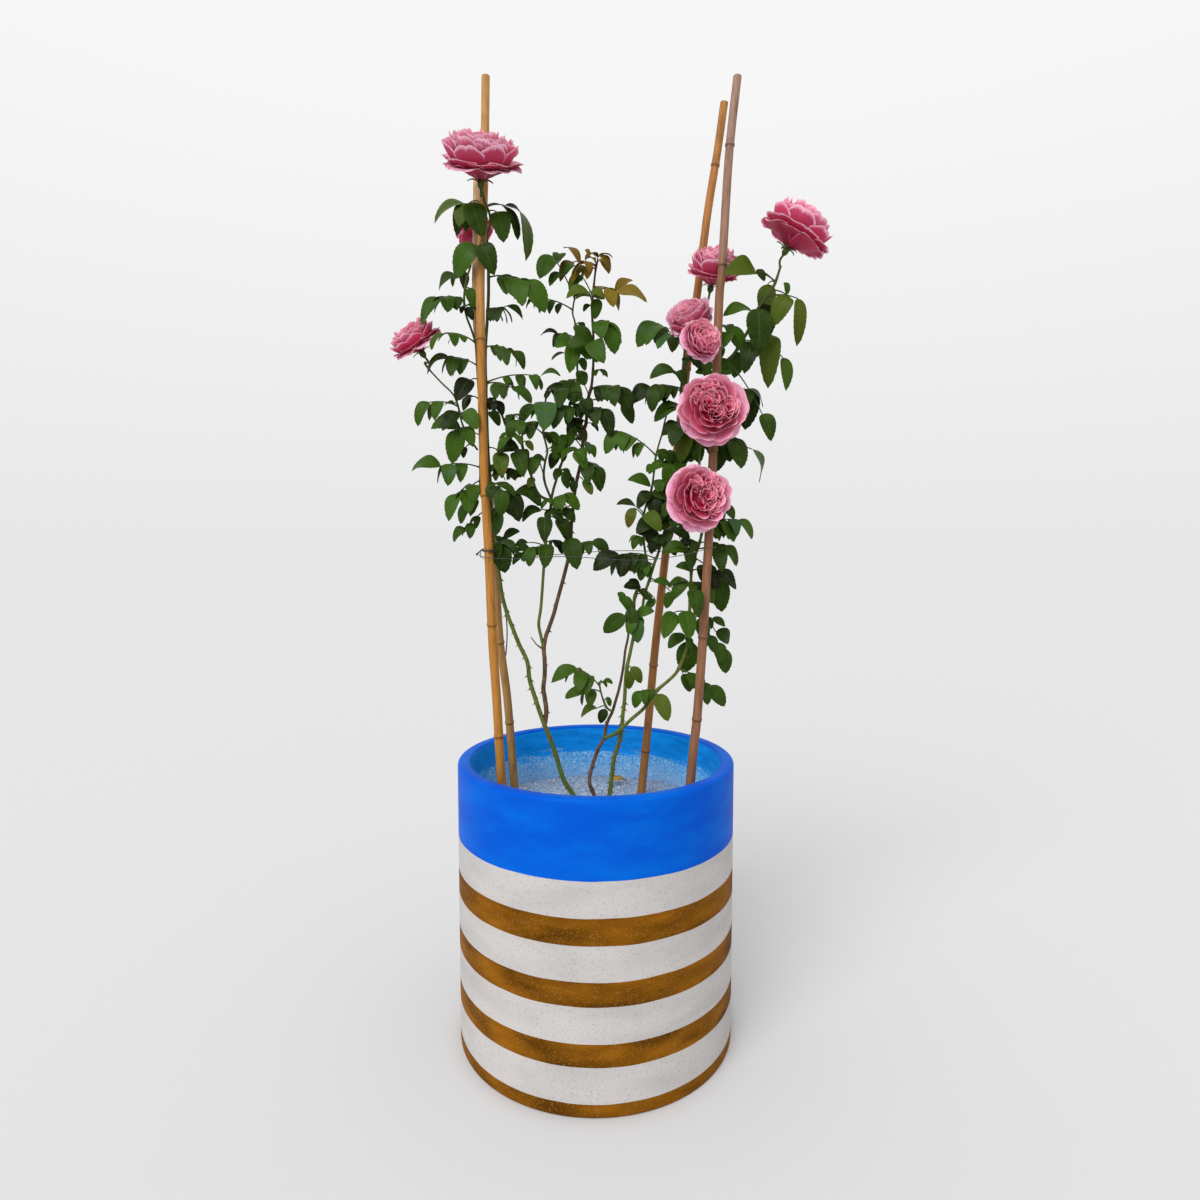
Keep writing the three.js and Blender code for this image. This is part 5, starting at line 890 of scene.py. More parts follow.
def rose_petal(settings):
    """A rose petal: velvety, so it lets a little light through and has a sheen at grazing angles.
    Deep rose at its foot, partly its own colour and partly painted shade and glow of light caught deep
    between the petals, and pale at its lip inside, and magenta with a pale edge on its back, darker at its
    foot as painted shade."""
    material, tree, _ = new_material("Rose petal")
    place = add(tree, "Attribute", {}, "Vector", attribute_name="place")
    along, upper = (add(tree, "SeparateXYZ", {0: place}, axis) for axis in "XZ")
    tone = add(tree, "Attribute", {}, "Vector", attribute_name="tone")
    inward, vary, pale = (add(tree, "SeparateXYZ", {0: tone}, axis) for axis in "XYZ")
    # Fine ribs run from the foot to the lip
    ribbed = add(tree, "VectorMath", {0: place, 1: (0.6, 4, 0)}, operation="MULTIPLY")
    ribs = add(tree, "TexNoise", {"Vector": ribbed, "Scale": 2.5, "Detail": 3})
    uneven = add(tree, "MapRange", {0: ribs, 1: 0.3, 2: 0.7, 3: -0.03, 4: 0.03})
    reach = add(tree, "Math", {0: along, 1: uneven})
    # The deep crimson stops at the foot of both face ramps are partly the rose's colour and partly painted
    # shade and glow of light caught between the petals
    outer = add(tree, "ValToRGB", {0: reach}, stops=(
        (0.1, "#DC1C46"), (0.26, settings.petal_heart), (0.5, settings.petal), (0.78, "#EC94B6"),
        (1.0, "#F4BCD2")))
    heart = add(tree, "ValToRGB", {0: reach}, stops=(
        (0.25, "#E41C4A"), (0.5, settings.petal_heart), (0.78, "#F884A4"), (1.0, "#FFB4C8")))
    inner = add(tree, "MapRange", {0: inward, 1: 0.2, 2: 0.75})
    face = add(tree, "Mix", {SHARE: inner, FIRST: outer, SECOND: heart}, MIXTURE, **RGBA)
    # Each bloom's faces are mixed towards pale lilac by a share set for that bloom
    face = add(tree, "Mix", {SHARE: pale, FIRST: face, SECOND: linear("#E6BCD2")}, MIXTURE, **RGBA)
    # The back's darkest stop, at its foot, is painted shade
    back = add(tree, "ValToRGB", {0: reach}, stops=(
        (0.2, shade(settings.petal_back, 0.6)), (0.6, settings.petal_back), (0.9, "#A62C52"),
        (1.0, "#E08CAE")))
    # The crowded inner petals are almost as pale behind as before
    is_face = add(tree, "MapRange", {0: upper, 1: 0.35})
    pale_back = add(tree, "Math", {0: inner, 1: 0.7}, operation="MULTIPLY")
    is_face = add(tree, "Math", {0: is_face, 1: pale_back}, operation="MAXIMUM")
    base = add(tree, "Mix", {SHARE: is_face, FIRST: back, SECOND: face}, MIXTURE, **RGBA)
    bruised = add(tree, "MapRange", {0: vary, 1: 0.4, 2: 1.0, 4: 0.3})
    base = add(tree, "Mix", {SHARE: bruised, FIRST: base, SECOND: linear("#D23C68")}, MIXTURE, **RGBA)
    finish(tree, base, 0.6, ribs, 0.15, Subsurface_Weight=0.2, Subsurface_Scale=0.004, Sheen_Weight=0.05,
           Specular_IOR_Level=0.08)
    return material


def plain_coat(name, code, roughness, relief=0.2, size=3.0, **sockets):
    """A skin of one colour with fine unevenness, such as wire, a coated tie, a thorn or cut wood."""
    material, tree, space = new_material(name)
    uneven = add(tree, "TexNoise", {"Vector": space, "Scale": 1 / (size * MM)})
    base = add(tree, "ValToRGB", {0: uneven}, stops=((0.35, shade(code, 0.65)), (0.6, code)))
    finish(tree, base, roughness, uneven, relief, **sockets)
    return material


def put(form, name, materials, crease=50):
    """Make a piece that stands for the CAD node of its name and takes its finish from a slot."""
    piece = form.make(name, materials, crease)
    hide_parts(name)
    return piece


class ROSE_OT_pot(bpy.types.Operator):
    """Add the banded pot"""
    bl_idname = "rose.pot"
    bl_label = "Pot"

    def execute(self, context):
        settings = context.scene.rose_pot
        radius, height = settings.radius / MM, settings.height / MM
        inner, rim = radius - settings.wall / MM, settings.rim / MM
        arc = [(math.cos(a), math.sin(a)) for a in np.radians((0, 22.5, 45, 67.5, 90))]
        form = Form()
        outside = [(radius - FOOT_ROUNDING + FOOT_ROUNDING * x, FOOT_ROUNDING - FOOT_ROUNDING * y)
                   for x, y in arc[::-1]]
        outside += [(radius, up) for up in np.linspace(FOOT_ROUNDING, height - rim, POT_STEPS)[1:-1]]
        outside += [(radius - rim + rim * x, height - rim + rim * y) for x, y in arc]
        inside = [(inner + rim - rim * x, height - rim + rim * y) for x, y in arc[::-1]]
        inside += [(inner, height - INSIDE_RING), (inner, POT_FLOOR), (MIDDLE_GAP, POT_FLOOR),
                   (MIDDLE_GAP, 0)]
        turned(form, outside + inside, POT_SIDES, 0)
        # The inside has its own paint from within the rounded rim on
        painted = (len(outside) + 3) * POT_SIDES
        form.slots[painted:] = [1] * (len(form.slots) - painted)
        pot = put(form, "pot", [painted_cement(settings), washed_cement()], crease=35)
        drill = Form()
        for turn in np.pi * (0.25 + 0.5 * np.arange(4)):
            x, y = DRAIN_RING * math.cos(turn), DRAIN_RING * math.sin(turn)
            ends = [(x, y, -DRILL_SPARE), (x, y, POT_FLOOR + DRILL_SPARE)]
            tube(drill, ends, [DRAIN_RADIUS] * 2, DRAIN_SIDES, 0)
        drill = drill.make("drain holes", [])
        bpy.context.view_layer.objects.active = pot
        holes = pot.modifiers.new("Drain holes", "BOOLEAN")
        holes.operation, holes.object = "DIFFERENCE", drill
        bpy.ops.object.modifier_apply(modifier=holes.name)
        bpy.data.objects.remove(drill)
        return {"FINISHED"}


class ROSE_OT_soil(bpy.types.Operator):
    """Add the soil with its grit"""
    bl_idname = "rose.soil"
    bl_label = "Soil"

    def execute(self, context):
        pot = context.scene.rose_pot
        edge = (pot.radius - pot.wall) / MM - SOIL_GAP
        rng = random.Random(4)
        rings, sides = SOIL_RINGS, SOIL_SIDES
        rise, wave_across, wave_back = SOIL_WAVES
        form = Form()
        points = [(0, 0, SOIL_LEVEL + SOIL_DOME)]
        for ring in range(1, rings + 1):
            out = edge * ring / rings
            for side in range(sides):
                angle = 2 * math.pi * side / sides
                x, y = out * math.cos(angle), out * math.sin(angle)
                up = SOIL_LEVEL + SOIL_DOME * (1 - ring / rings) - (SOIL_EDGE_DROP if ring == rings else 0)
                up += (rise * math.sin(x / wave_across + 1) * math.cos(y / wave_back)
                       + rng.uniform(-SOIL_ROUGHNESS, SOIL_ROUGHNESS) * (ring < rings))
                points.append((x, y, up))
        points += [(x, y, POT_FLOOR + SOIL_FOOT_GAP) for x, y, _ in points[-sides:]]
        faces = [[0, 1 + side, 1 + (side + 1) % sides] for side in range(sides)]
        for ring in range(rings):
            for side in range(sides):
                here, after = 1 + ring * sides + side, 1 + ring * sides + (side + 1) % sides
                faces.append([here, here + sides, after + sides, after])
        faces.append([1 + rings * sides + side for side in range(sides)][::-1])
        form.add(points, faces, 0)
        # Stones of two to seven millimetres lie half sunk in the surface
        for _ in range(STONE_COUNT):
            out, angle = (edge - STONE_EDGE_GAP) * math.sqrt(rng.random()), rng.uniform(0, 2 * math.pi)
            size = SMALLEST_STONE + STONE_RANGE * rng.random() ** 3
            centre = np.array((out * math.cos(angle), out * math.sin(angle),
                               SOIL_LEVEL + SOIL_DOME - SOIL_DOME * out / edge))
            stone = [(1, 0, 0), (0, 1, 0), (-1, 0, 0), (0, -1, 0), (0, 0, 1), (0, 0, -1)]
            shape = np.array(stone) * [size * rng.uniform(0.7, 1.3) for _ in range(3)]
            turn = rng.uniform(0, 3)
            spin = np.array((
                (math.cos(turn), -math.sin(turn), 0), (math.sin(turn), math.cos(turn), 0), (0, 0, 1)))
            faces = [[0, 1, 4], [1, 2, 4], [2, 3, 4], [3, 0, 4], [1, 0, 5], [2, 1, 5], [3, 2, 5], [0, 3, 5]]
            form.add(shape @ spin.T + centre, faces, 1)
        stone = plain_coat("Crushed stone", "#C9CBD0", 0.85, 0.3, 2.0)
        put(form, "soil", [gritty_soil(), stone])
        return {"FINISHED"}


class ROSE_OT_canes(bpy.types.Operator):
    """Add the four bamboo canes"""
    bl_idname = "rose.canes"
    bl_label = "Canes"

    def execute(self, context):
        settings = context.scene.rose_canes
        cut = plain_coat("Cut bamboo end", "#C8A878", 0.8, 0.3, 1.2)
        for name, (joints, route) in CANES.items():
            way = traced(route, CANE_STEPS)
            lengths = np.concatenate(([0], np.cumsum(np.linalg.norm(np.diff(way, axis=0), axis=1))))
            stops = list(np.arange(0, lengths[-1], CANE_RING_GAP)) + [lengths[-1]]
            middles = [np.interp(up, way[:, 2], lengths) for up in joints]
            for middle in middles:
                stops += [middle + step for step in JOINT_RINGS]
            stops = np.array(sorted(stops))
            stops = stops[np.concatenate(([True], np.diff(stops) > LEAST_GAP))]
            stops = np.clip(stops, 0, lengths[-1])
            centres = np.stack([np.interp(stops, lengths, way[:, axis]) for axis in range(3)], axis=1)
            swell, dark = np.zeros(len(stops)), np.zeros(len(stops))
            for middle in middles:
                away = stops - middle
                swell += bump(away, *JOINT_RIDGE) + bump(away, *JOINT_NECK)
                dark += bump(away, *JOINT_LINE) + bump(away, *JOINT_SHADE)
            shares = stops / lengths[-1]
            radii = settings.radius / MM * (1 - CANE_TAPER * shares) * (1 + swell)
            form = Form()
            tube(form, centres, radii, CANE_SIDES, 0, (0, 0, 0), np.clip(dark, 0, 1))
            # The cut top is a ring of pale wood round a dark disc, painted shade standing for the open middle
            # of the cane
            top, ahead = centres[-1], unit(centres[-1] - centres[-2])
            tube(form, [top - ahead, top + 0.3 * ahead], [radii[-1] * 0.97] * 2, CANE_SIDES, 1)
            tube(form, [top, top + 0.5 * ahead], [radii[-1] * 0.45] * 2, CANE_SIDES, 2)
            key = name.removeprefix("cane_")
            title = "Dried bamboo, " + key.replace("_", " ")
            skin = bamboo(title, getattr(settings, key), getattr(settings, key + "_top"))
            # Painted shade: the dark brown of the disc that stands for the cane's open top
            painted_inside_shade = plain_coat("Hollow of " + name, "#3A2A1C", 0.9)
            put(form, name, [skin, cut, painted_inside_shade])
        return {"FINISHED"}


def nearest_on_route(route, across, up):
    """The point of a polyline that lies nearest to a place across and up."""
    best = None
    for start, end in zip(route, route[1:]):
        step = (end[0] - start[0], end[1] - start[1])
        share = ((across - start[0]) * step[0] + (up - start[1]) * step[1]) / (step[0] ** 2 + step[1] ** 2)
        share = min(max(share, 0), 1)
        place = [a + share * (b - a) for a, b in zip(start, end)]
        distance = math.hypot(place[0] - across, place[1] - up)
        if best is None or distance < best[0]:
            best = (distance, place)
    return best[1]


def bezier(start, middle, end, share):
    """A point of a curve with one handle."""
    return (1 - share) ** 2 * start + 2 * (1 - share) * share * middle + share ** 2 * end


LEAFLET_ROWS, LEAFLET_COLUMNS = 20, 4
LEAFLET_FACES = shell_faces(LEAFLET_ROWS, LEAFLET_COLUMNS, True)


def leaflet(form, base, tip, upper, width, tone, draws, slot=1):
    """A toothed leaflet with an acute tip, folded along its midrib and arched from base to tip."""
    along = tip - base
    size = np.linalg.norm(along)
    along = along / size
    up = level_to(upper, along)
    across = np.cross(along, up)
    arch = (up + (0, 0, 1)) * draws.between(0.07, 0.15)
    fold, twist = draws.between(0.05, 0.5), draws.between(-0.5, 0.5)
    phase, waves = draws.between(0, 6.28), draws.between(0.012, 0.03)
    curl = draws.between(-0.05, 0.14)
    middle = LEAFLET_COLUMNS // 2

    def rows(columns, side):
        points, place = [], []
        for row in range(1, LEAFLET_ROWS):
            # Each second point of the edge is a tooth, which stands out and forward
            tooth = 1 if row % 2 == 0 else -1
            share = row / LEAFLET_ROWS
            half = OUTLINE * share ** BASE_POWER * (1 - share) ** TIP_POWER * width * size
            turn = twist * (share - 0.5)
            outwards = across * math.cos(turn) + up * math.sin(turn)
            raised = up * math.cos(turn) - across * math.sin(turn)
            for column in columns:
                v = (column - middle) / middle
                rim = abs(v) == 1
                s = share + (TOOTH_FORWARD * tooth if rim else 0)
                reach = v * half * (1 + (TOOTH_OUT * tooth if rim else 0))
                lift = ((fold - 0.6 * fold * abs(v)) * abs(reach)
                        + waves * size * abs(v) * math.sin(8 * s + phase + 2 * v))
                point = (base + along * s * size + arch * (size * 4 * s * (1 - s)) + outwards * reach
                         + raised * (lift - curl * s ** 3 * size))
                if not rim:
                    point = point + raised * (side * LEAFLET_THICKNESS / 2 - (RIB_GROOVE if v == 0 else 0))
                points.append(point)
                place.append((s, v, 1 if side > 0 else 0))
        return points, place

    end = tip - up * curl * size
    top, top_place = rows(range(LEAFLET_COLUMNS + 1), 1)
    low, low_place = rows(range(1, LEAFLET_COLUMNS), -1)
    form.add([base] + top + [end] + low, LEAFLET_FACES, slot,
             [(0, 0, 1)] + top_place + [(1, 0, 1)] + low_place, tone)


def compound_leaf(form, route, row, radius):
    """A leaf with its stalk, its end leaflet and its pairs of side leaflets."""
    base_across, base_up, end_across, end_up, tip_across, tip_up, pairs, depth, tilt, size = row
    draws = Draws(tip_across, tip_up)
    look = LEAF_LOOKS.get((tip_across, tip_up))
    root = nearest_on_route(route, base_across, base_up)
    base = seen(*root)
    end_depth = root[2] + depth
    end = seen(end_across, end_up, end_depth)
    flat = max(np.linalg.norm(seen(tip_across, tip_up, end_depth) - end), SMALLEST_LEAFLET)
    lean = math.sqrt(max(size * size - flat * flat, 0))
    tip = seen(tip_across, tip_up, end_depth + (lean if depth > 0 else -lean))
    size = np.linalg.norm(tip - end)
    turn = math.radians(tilt)
    upper = np.array((draws.between(-0.2, 0.2), -math.cos(turn), math.sin(turn)))
    middle = (base + end) / 2 + (0, 0, STALK_RISE * np.linalg.norm(end - base))
    width = LEAFLET_WIDTH * draws.between(*WIDTH_RANGE) * (look[3] if look else 1)
    level = (abs(end[0] - base[0]) / np.linalg.norm(end - base) - STALK_LEVELS[0]) / STALK_LEVELS[1]
    level = min(max(level, 0), 1)
    pair_side = unit(upper * (1 - level) + np.array((0, -0.2, 1)) * level)
    spreading, droop = 0.85 - 0.4 * level, 0.35 + 0.65 * level
    leaflets = [(end, tip, upper, width)]
    for index, share in enumerate(PAIR_PLACES[pairs]):
        place = bezier(base, middle, end, share)
        ahead = unit(bezier(base, middle, end, share + 0.05) - place)
        sideways = unit(np.cross(ahead, pair_side))
        pair_length = size * SIDE_LEAFLET_SHARE * (1 - 0.08 * (pairs - 1 - index))
        for side in (1, -1):
            direction = ahead * draws.between(0.35, 0.6) + sideways * side * spreading
            direction[2] -= droop
            direction = unit(direction)
            far = place + direction * pair_length * draws.between(0.88, 1.08)
            leaflets.append((
                place, far, pair_side + sideways * side * 0.3, LEAFLET_WIDTH * draws.between(*WIDTH_RANGE)))
    own = draws.between(0, 1)
    for foot, far, side, wide in leaflets:
        if look:
            tone = (0.6 + 0.3 * look[0], max(look[0], look[1]), look[2])
        else:
            tone = (own * 0.75 + draws.between(0, 0.25), 0, 0)
        leaflet(form, foot, far, side, wide, tone, draws)
    shares = np.linspace(0, 1, 9)
    way = [bezier(base, middle, end, share) for share in shares]
    tube(form, way, radius * (1.15 - 0.35 * shares) * (1 + 0.5 * np.exp(-(shares / 0.08) ** 2)), 6, 2)


def thorn(form, ring, radius, outwards, size):
    """A broad-based thorn that hooks downwards."""
    down = np.array((0, 0, -1.0))
    side = unit(np.cross(outwards, down))
    points = []
    high, broad = THORN_SIZE
    for share in THORN_RINGS:
        centre = (ring + outwards * (radius * THORN_SEAT + size * share)
                  + down * size * THORN_HOOK * share ** 2)
        for angle in np.arange(6) * np.pi / 3:
            points.append(centre + (1 - share) ** 1.3 * size * (
                high * math.cos(angle) * down + broad * math.sin(angle) * side))
    points.append(ring + outwards * (radius * THORN_SEAT + size * THORN_TIP[0]) + down * size * THORN_TIP[1])
    faces = [[0, 1, 2, 3, 4, 5][::-1]]
    for step in (0, 6):
        faces += [[step + i, step + (i + 1) % 6, step + 6 + (i + 1) % 6, step + 6 + i] for i in range(6)]
    faces += [[12 + i, 12 + (i + 1) % 6, 18] for i in range(6)]
    form.add(points, faces, 3)


def bloom_frame(middle, radius, facing):
    """Where a bloom's petals start, the direction it faces, and two directions square to that."""
    facing = unit(np.array(facing, dtype=float))
    base = seen(*middle) - facing * 0.6 * radius
    hint = np.array((0.0, -1.0, 0.0) if abs(facing[2]) > 0.9 else (0.0, 0.0, 1.0))
    across = level_to(hint, facing)
    return base, facing, across, np.cross(facing, across)


def bloom_stalk(form, route, bloom):
    """A bloom's stalk, its round hip and its five sepals, which are folded back."""
    middle, radius, facing, _, way = bloom
    base, facing, across, other = bloom_frame(middle, radius, facing)
    root = nearest_on_route(route, way[0][0], way[0][1])
    points = [seen(*root)] + [seen(*place) for place in way[1:]]
    points += [base - facing * below for below in STALK_ENDS]
    line = smooth_way(points, 5)
    tube(form, line, [STALK_RADIUS] * len(line), 8, 0)
    tube(form, [base - facing * below for below in HIP_PLACES], HIP_RADII, 10, 0)
    for index in range(SEPALS):
        turn = 2 * math.pi * index / SEPALS + 0.4
        outwards = across * math.cos(turn) + other * math.sin(turn)
        foot = base + outwards * SEPAL_FOOT[0] - facing * SEPAL_FOOT[1]
        tip = foot + outwards * radius * SEPAL_REACH[0] + facing * radius * SEPAL_REACH[1]
        leaflet(form, foot, tip, facing + outwards * 0.4, SEPAL_WIDTH, (0.7, 0.1, 0),
                Draws(index, round(radius)))


class ROSE_OT_shoots(bpy.types.Operator):
    """Add the stems with their thorns, leaves and the stalks of their blooms"""
    bl_idname = "rose.shoots"
    bl_label = "Shoots and leaves"

    def execute(self, context):
        settings = context.scene.rose_plant
        green = stem_skin("Green rose stem", settings.stem, linear("#7A4A30"), 0.5)
        bark = stem_skin("Old rose bark", settings.bark, linear("#8A7A68"), 0.8)
        young = stem_skin("Young rose stem", linear("#8A5A2C"), linear("#8A3A2C"), 0.45)
        blade = leaf_blade("Rose leaf", settings.leaf_dark, settings.leaf, settings.olive)
        young_blade = leaf_blade("Young rose leaf", linear("#5C3E0E"), settings.bronze, linear("#6A7020"))
        prickle = plain_coat("Rose thorn", "#7A3E2C", 0.5)
        kinds = {
            "green": ((green, blade, green, prickle), "foliage"),
            "bark": ((bark, blade, green, prickle), "bark"),
            "young": ((young, young_blade, young, prickle), "young_foliage"),
        }
        for name, (kind, thick, thin, thorn_count, route) in SHOOTS.items():
            form = Form()
            way = traced(route, 4)
            shares = np.linspace(0, 1, len(way))
            radii = thick + (thin - thick) * shares
            for row in LEAVES.get(name, ()):
                joint = seen(*nearest_on_route(route, row[0], row[1]))
                radii = radii * (1 + bump(np.linalg.norm(way - joint, axis=1), *LEAF_JOINT))
            radii = np.minimum(radii, MOST_SWELL * (thick + (thin - thick) * shares))
            tube(form, way, radii, 10, 0)
            for row in LEAVES.get(name, ()):
                compound_leaf(form, route, row, settings.stalk / MM)
            draws = Draws(route[0][0], route[0][1])
            above = [step for step in range(len(way)) if way[step][2] > SOIL_LEVEL + THORN_CLEARANCE]
            # Thorns stand by turns to the right and the left, on the lower half of the stem
            for index in range(THORN_SHARE * thorn_count):
                far = 0.5 * (index + draws.between(0.2, 0.8)) / (THORN_SHARE * thorn_count)
                step = above[round(far * (len(above) - 1))]
                angle = math.pi * index + draws.between(-0.7, 0.7)
                outwards = unit(np.array((math.cos(angle), math.sin(angle), -0.25)))
                thorn(form, way[step], radii[step], outwards, settings.thorn / MM)
            if name in TWIGS:
                tube(form, [seen(*place) for place in TWIGS[name]], TWIG_RADII, 6, 0)
            for bloom in BLOOMS.values():
                if bloom[3] == name:
                    bloom_stalk(form, route, bloom)
            materials, slot = kinds[kind]
            put(form, name, materials)
        return {"FINISHED"}


PETAL_ROWS, PETAL_COLUMNS = 7, 10
PETAL_FACES = shell_faces(PETAL_ROWS, PETAL_COLUMNS, False)

# The whorls of a bloom, outermost first, as shares of its radius: how many petals, where the lip and
# the bend of a petal lie (out, up), its width, how far its sides bend in and how far its lip rolls out
WHORLS = (
    (7, (1.0, 0.22), (0.62, 0.36), 0.92, 0.06, 0.14),
    (7, (0.96, 0.4), (0.76, 0.3), 0.95, 0.12, 0.16),
    (7, (0.86, 0.68), (0.8, 0.26), 0.78, 0.16, 0.12),
    (8, (0.72, 0.82), (0.78, 0.36), 0.66, 0.18, 0.1),
    (8, (0.56, 0.9), (0.64, 0.5), 0.56, 0.16, 0.08),
    (7, (0.38, 0.94), (0.44, 0.6), 0.5, 0.14, 0.07),
)
# A bloom's closed heart: up and out, as shares of its radius
HEART_UP = (0.02, 0.1, 0.25, 0.45, 0.6, 0.66)
HEART_OUT = (0.08, 0.2, 0.36, 0.4, 0.26, 0.05)
# The rings of a swirl of crowded inner petals: how many, how far their lips stand from its middle, and
# their width, as shares of the swirl's size
SWIRL_RINGS = ((6, 1.0, 1.3), (5, 0.66, 1.15), (4, 0.32, 0.9))
# How far each whorl or ring is turned from the one before, in radians
WHORL_TURN, SWIRL_TURN = 1.3, 0.9
# Swirls of a bloom: right, up and size, as shares of its radius
PLAIN_SWIRLS = (
    (0, 0, 0.3), (0.4, 0.12, 0.26), (0.1, 0.42, 0.26), (-0.36, 0.26, 0.28), (-0.3, -0.26, 0.26),
    (0.16, -0.4, 0.26))
# How far the outer whorls are open, how high the bloom is, how far its faces are mixed towards lilac, and its
# swirls
BLOOM_SHAPES = {
    "bloom_front_upper": (1.0, 1.0, 0.0, (
        (-0.08, 0.1, 0.26), (0.42, -0.04, 0.3), (0.1, -0.2, 0.2), (-0.06, 0.46, 0.24), (-0.36, 0.3, 0.2))),
    "bloom_front_lower": (1.0, 1.0, 0.0, (
        (0.12, 0.02, 0.28), (0.4, 0.24, 0.24), (0.16, 0.44, 0.24), (0.3, -0.3, 0.24), (-0.2, 0.3, 0.22))),
    "bloom_top_left": (0.8, 1.08, 0.4, ((-0.3, 0, 0.42), (0.4, 0.1, 0.44), (0, 0.4, 0.3), (0.05, -0.4, 0.3))),
    "bloom_top_right": (0.8, 1.1, 0.0, PLAIN_SWIRLS),
    "bloom_between_canes": (0.75, 1.3, 0.1, PLAIN_SWIRLS),
    "bloom_pair_upper": (0.8, 1.1, 0.35, PLAIN_SWIRLS),
}


def petal(form, foot_at, axes, turn, ways, width, cup, roll, radius, tone, rng, skew=0.0):
    """One spoon-shaped petal. ways holds its foot, bend and lip, each (out, up) from foot_at, and tone
    is 0 for the outermost petals to 1 at the heart, and how far the bloom's faces are mixed towards lilac."""
    facing, across, other = axes
    outwards = across * math.cos(turn) + other * math.sin(turn)
    sideways = unit(np.cross(facing, outwards) + outwards * skew)
    foot, bend, lip = (np.array(way) * radius for way in ways)
    v = np.linspace(-1, 1, PETAL_COLUMNS + 1)[None, :]
    along = np.arange(1, PETAL_ROWS + 1)[:, None] / PETAL_ROWS
    # The lip is a wavy arc with a notch in the middle, lower at its two corners
    phase, waves, notch = rng.uniform(0, 6.28), rng.uniform(2, 4.5), rng.uniform(0, 0.07)
    arc = rng.uniform(0.2, 0.3) * min(1, width * radius / np.linalg.norm(lip - foot))
    s = along * (1 - arc * np.abs(v) ** 3 + 0.02 * np.sin(1.4 * waves * v + phase)
                 - notch * np.exp(-(v / 0.2) ** 2))
    curve = [(1 - s) ** 2 * a + 2 * (1 - s) * s * b + s * s * c for a, b, c in zip(foot, bend, lip)]
    slope = [2 * (1 - s) * (b - a) + 2 * s * (c - b) for a, b, c in zip(foot, bend, lip)]
    size = np.hypot(*slope)
    # The inner side of the petal faces this way, out and up
    normal = (-slope[1] / size, slope[0] / size)
    lift = cup * v ** 2 * np.sqrt(s) - roll * s ** 6 * (0.7 + 0.5 * np.abs(v))
    lift = radius * (lift + rng.uniform(0.02, 0.05) * s ** 3 * np.sin(waves * v + phase))
    wide = width * radius / 2 * (0.3 + 0.7 * np.sin(np.pi / 2 * np.minimum(1, s * 1.35)))
    grid = (foot_at + outwards * (curve[0] + normal[0] * lift)[..., None]
            + facing * (curve[1] + normal[1] * lift)[..., None] + sideways * (v * wide)[..., None])
    low = grid - (outwards * normal[0][..., None] + facing * normal[1][..., None]) * PETAL_THICKNESS
    place = np.stack(np.broadcast_arrays(along, v, 1.0), axis=2)
    form.add(
        np.vstack(([foot_at + outwards * foot[0] + facing * foot[1]], grid.reshape(-1, 3),
                   low[:-1, 1:-1].reshape(-1, 3))),
        PETAL_FACES, 0,
        np.vstack(([(0, 0, 1)], place.reshape(-1, 3), (place * (1, 1, 0))[:-1, 1:-1].reshape(-1, 3))),
        (tone[0], rng.random(), tone[1]))


class ROSE_OT_blooms(bpy.types.Operator):
    """Add the double blooms"""
    bl_idname = "rose.blooms"
    bl_label = "Blooms"

    def execute(self, context):
        material = rose_petal(context.scene.rose_plant)
        for number, (name, (middle, radius, facing, _, _)) in enumerate(BLOOMS.items()):
            rng = random.Random(30 + number)
            base, axis, across, other = bloom_frame(middle, radius, facing)
            spread, dome, lilac_share, swirls = BLOOM_SHAPES.get(name, (0.9, 1.0, 0.0, PLAIN_SWIRLS))
            form = Form()
            # A closed heart under the petals, so that no light shows between their feet
            rise = np.array(HEART_UP) * dome
            tube(form, [base + axis * up * radius for up in rise], np.array(HEART_OUT) * radius, 14, 0,
                 (0, 0.3, 0))
            for ring, (count, lip, bend, width, cup, roll) in enumerate(WHORLS):
                closed = (1 - spread) * (1 - ring / len(WHORLS))
                for index in range(count):
                    turn = 2 * math.pi * (index + rng.uniform(-0.2, 0.2)) / count + ring * WHORL_TURN
                    out = lip[0] * (1 - 0.35 * closed) * rng.uniform(0.88, 1.04)
                    up = (lip[1] + 0.6 * closed) * dome * rng.uniform(0.92, 1.08)
                    ways = ((0.06, 0.04 + 0.05 * ring), (bend[0], bend[1] * (1 - closed) * dome), (out, up))
                    petal(form, base, (axis, across, other), turn, ways, width * rng.uniform(0.88, 1.12),
                          cup + 0.15 * closed, roll, radius, (0.13 * ring, lilac_share), rng, 0.15 * (ring > 2))
            for right, high, size in swirls:
                # Each swirl leans outwards from the middle of the bloom, so together they make a dome
                aside = across * high - other * right
                far = math.hypot(right, high)
                leaning = unit(axis + aside * 0.8)
                side = level_to(across, leaning)
                foot_at = base + (aside * 0.7 + axis * 0.35 * dome) * radius
                start = rng.uniform(0, 6.28)
                for ring, (count, reach, width) in enumerate(SWIRL_RINGS):
                    for index in range(count):
                        turn = (start + 2 * math.pi * (index + rng.uniform(-0.25, 0.25)) / count
                                + ring * SWIRL_TURN)
                        out = size * reach * rng.uniform(0.8, 1.1)
                        up = (0.6 - 0.28 * far ** 2) * dome * rng.uniform(0.93, 1.05)
                        petal(form, foot_at, (leaning, side, np.cross(leaning, side)), turn,
                              ((0.04, 0.05), (out * 0.95, up * 0.5), (out, up)),
                              size * width * rng.uniform(0.85, 1.2), 0.3 * size, 0.05, radius,
                              (0.7 + 0.15 * ring, 0.6 * lilac_share), rng, 0.4)
            put(form, name, [material])
        return {"FINISHED"}


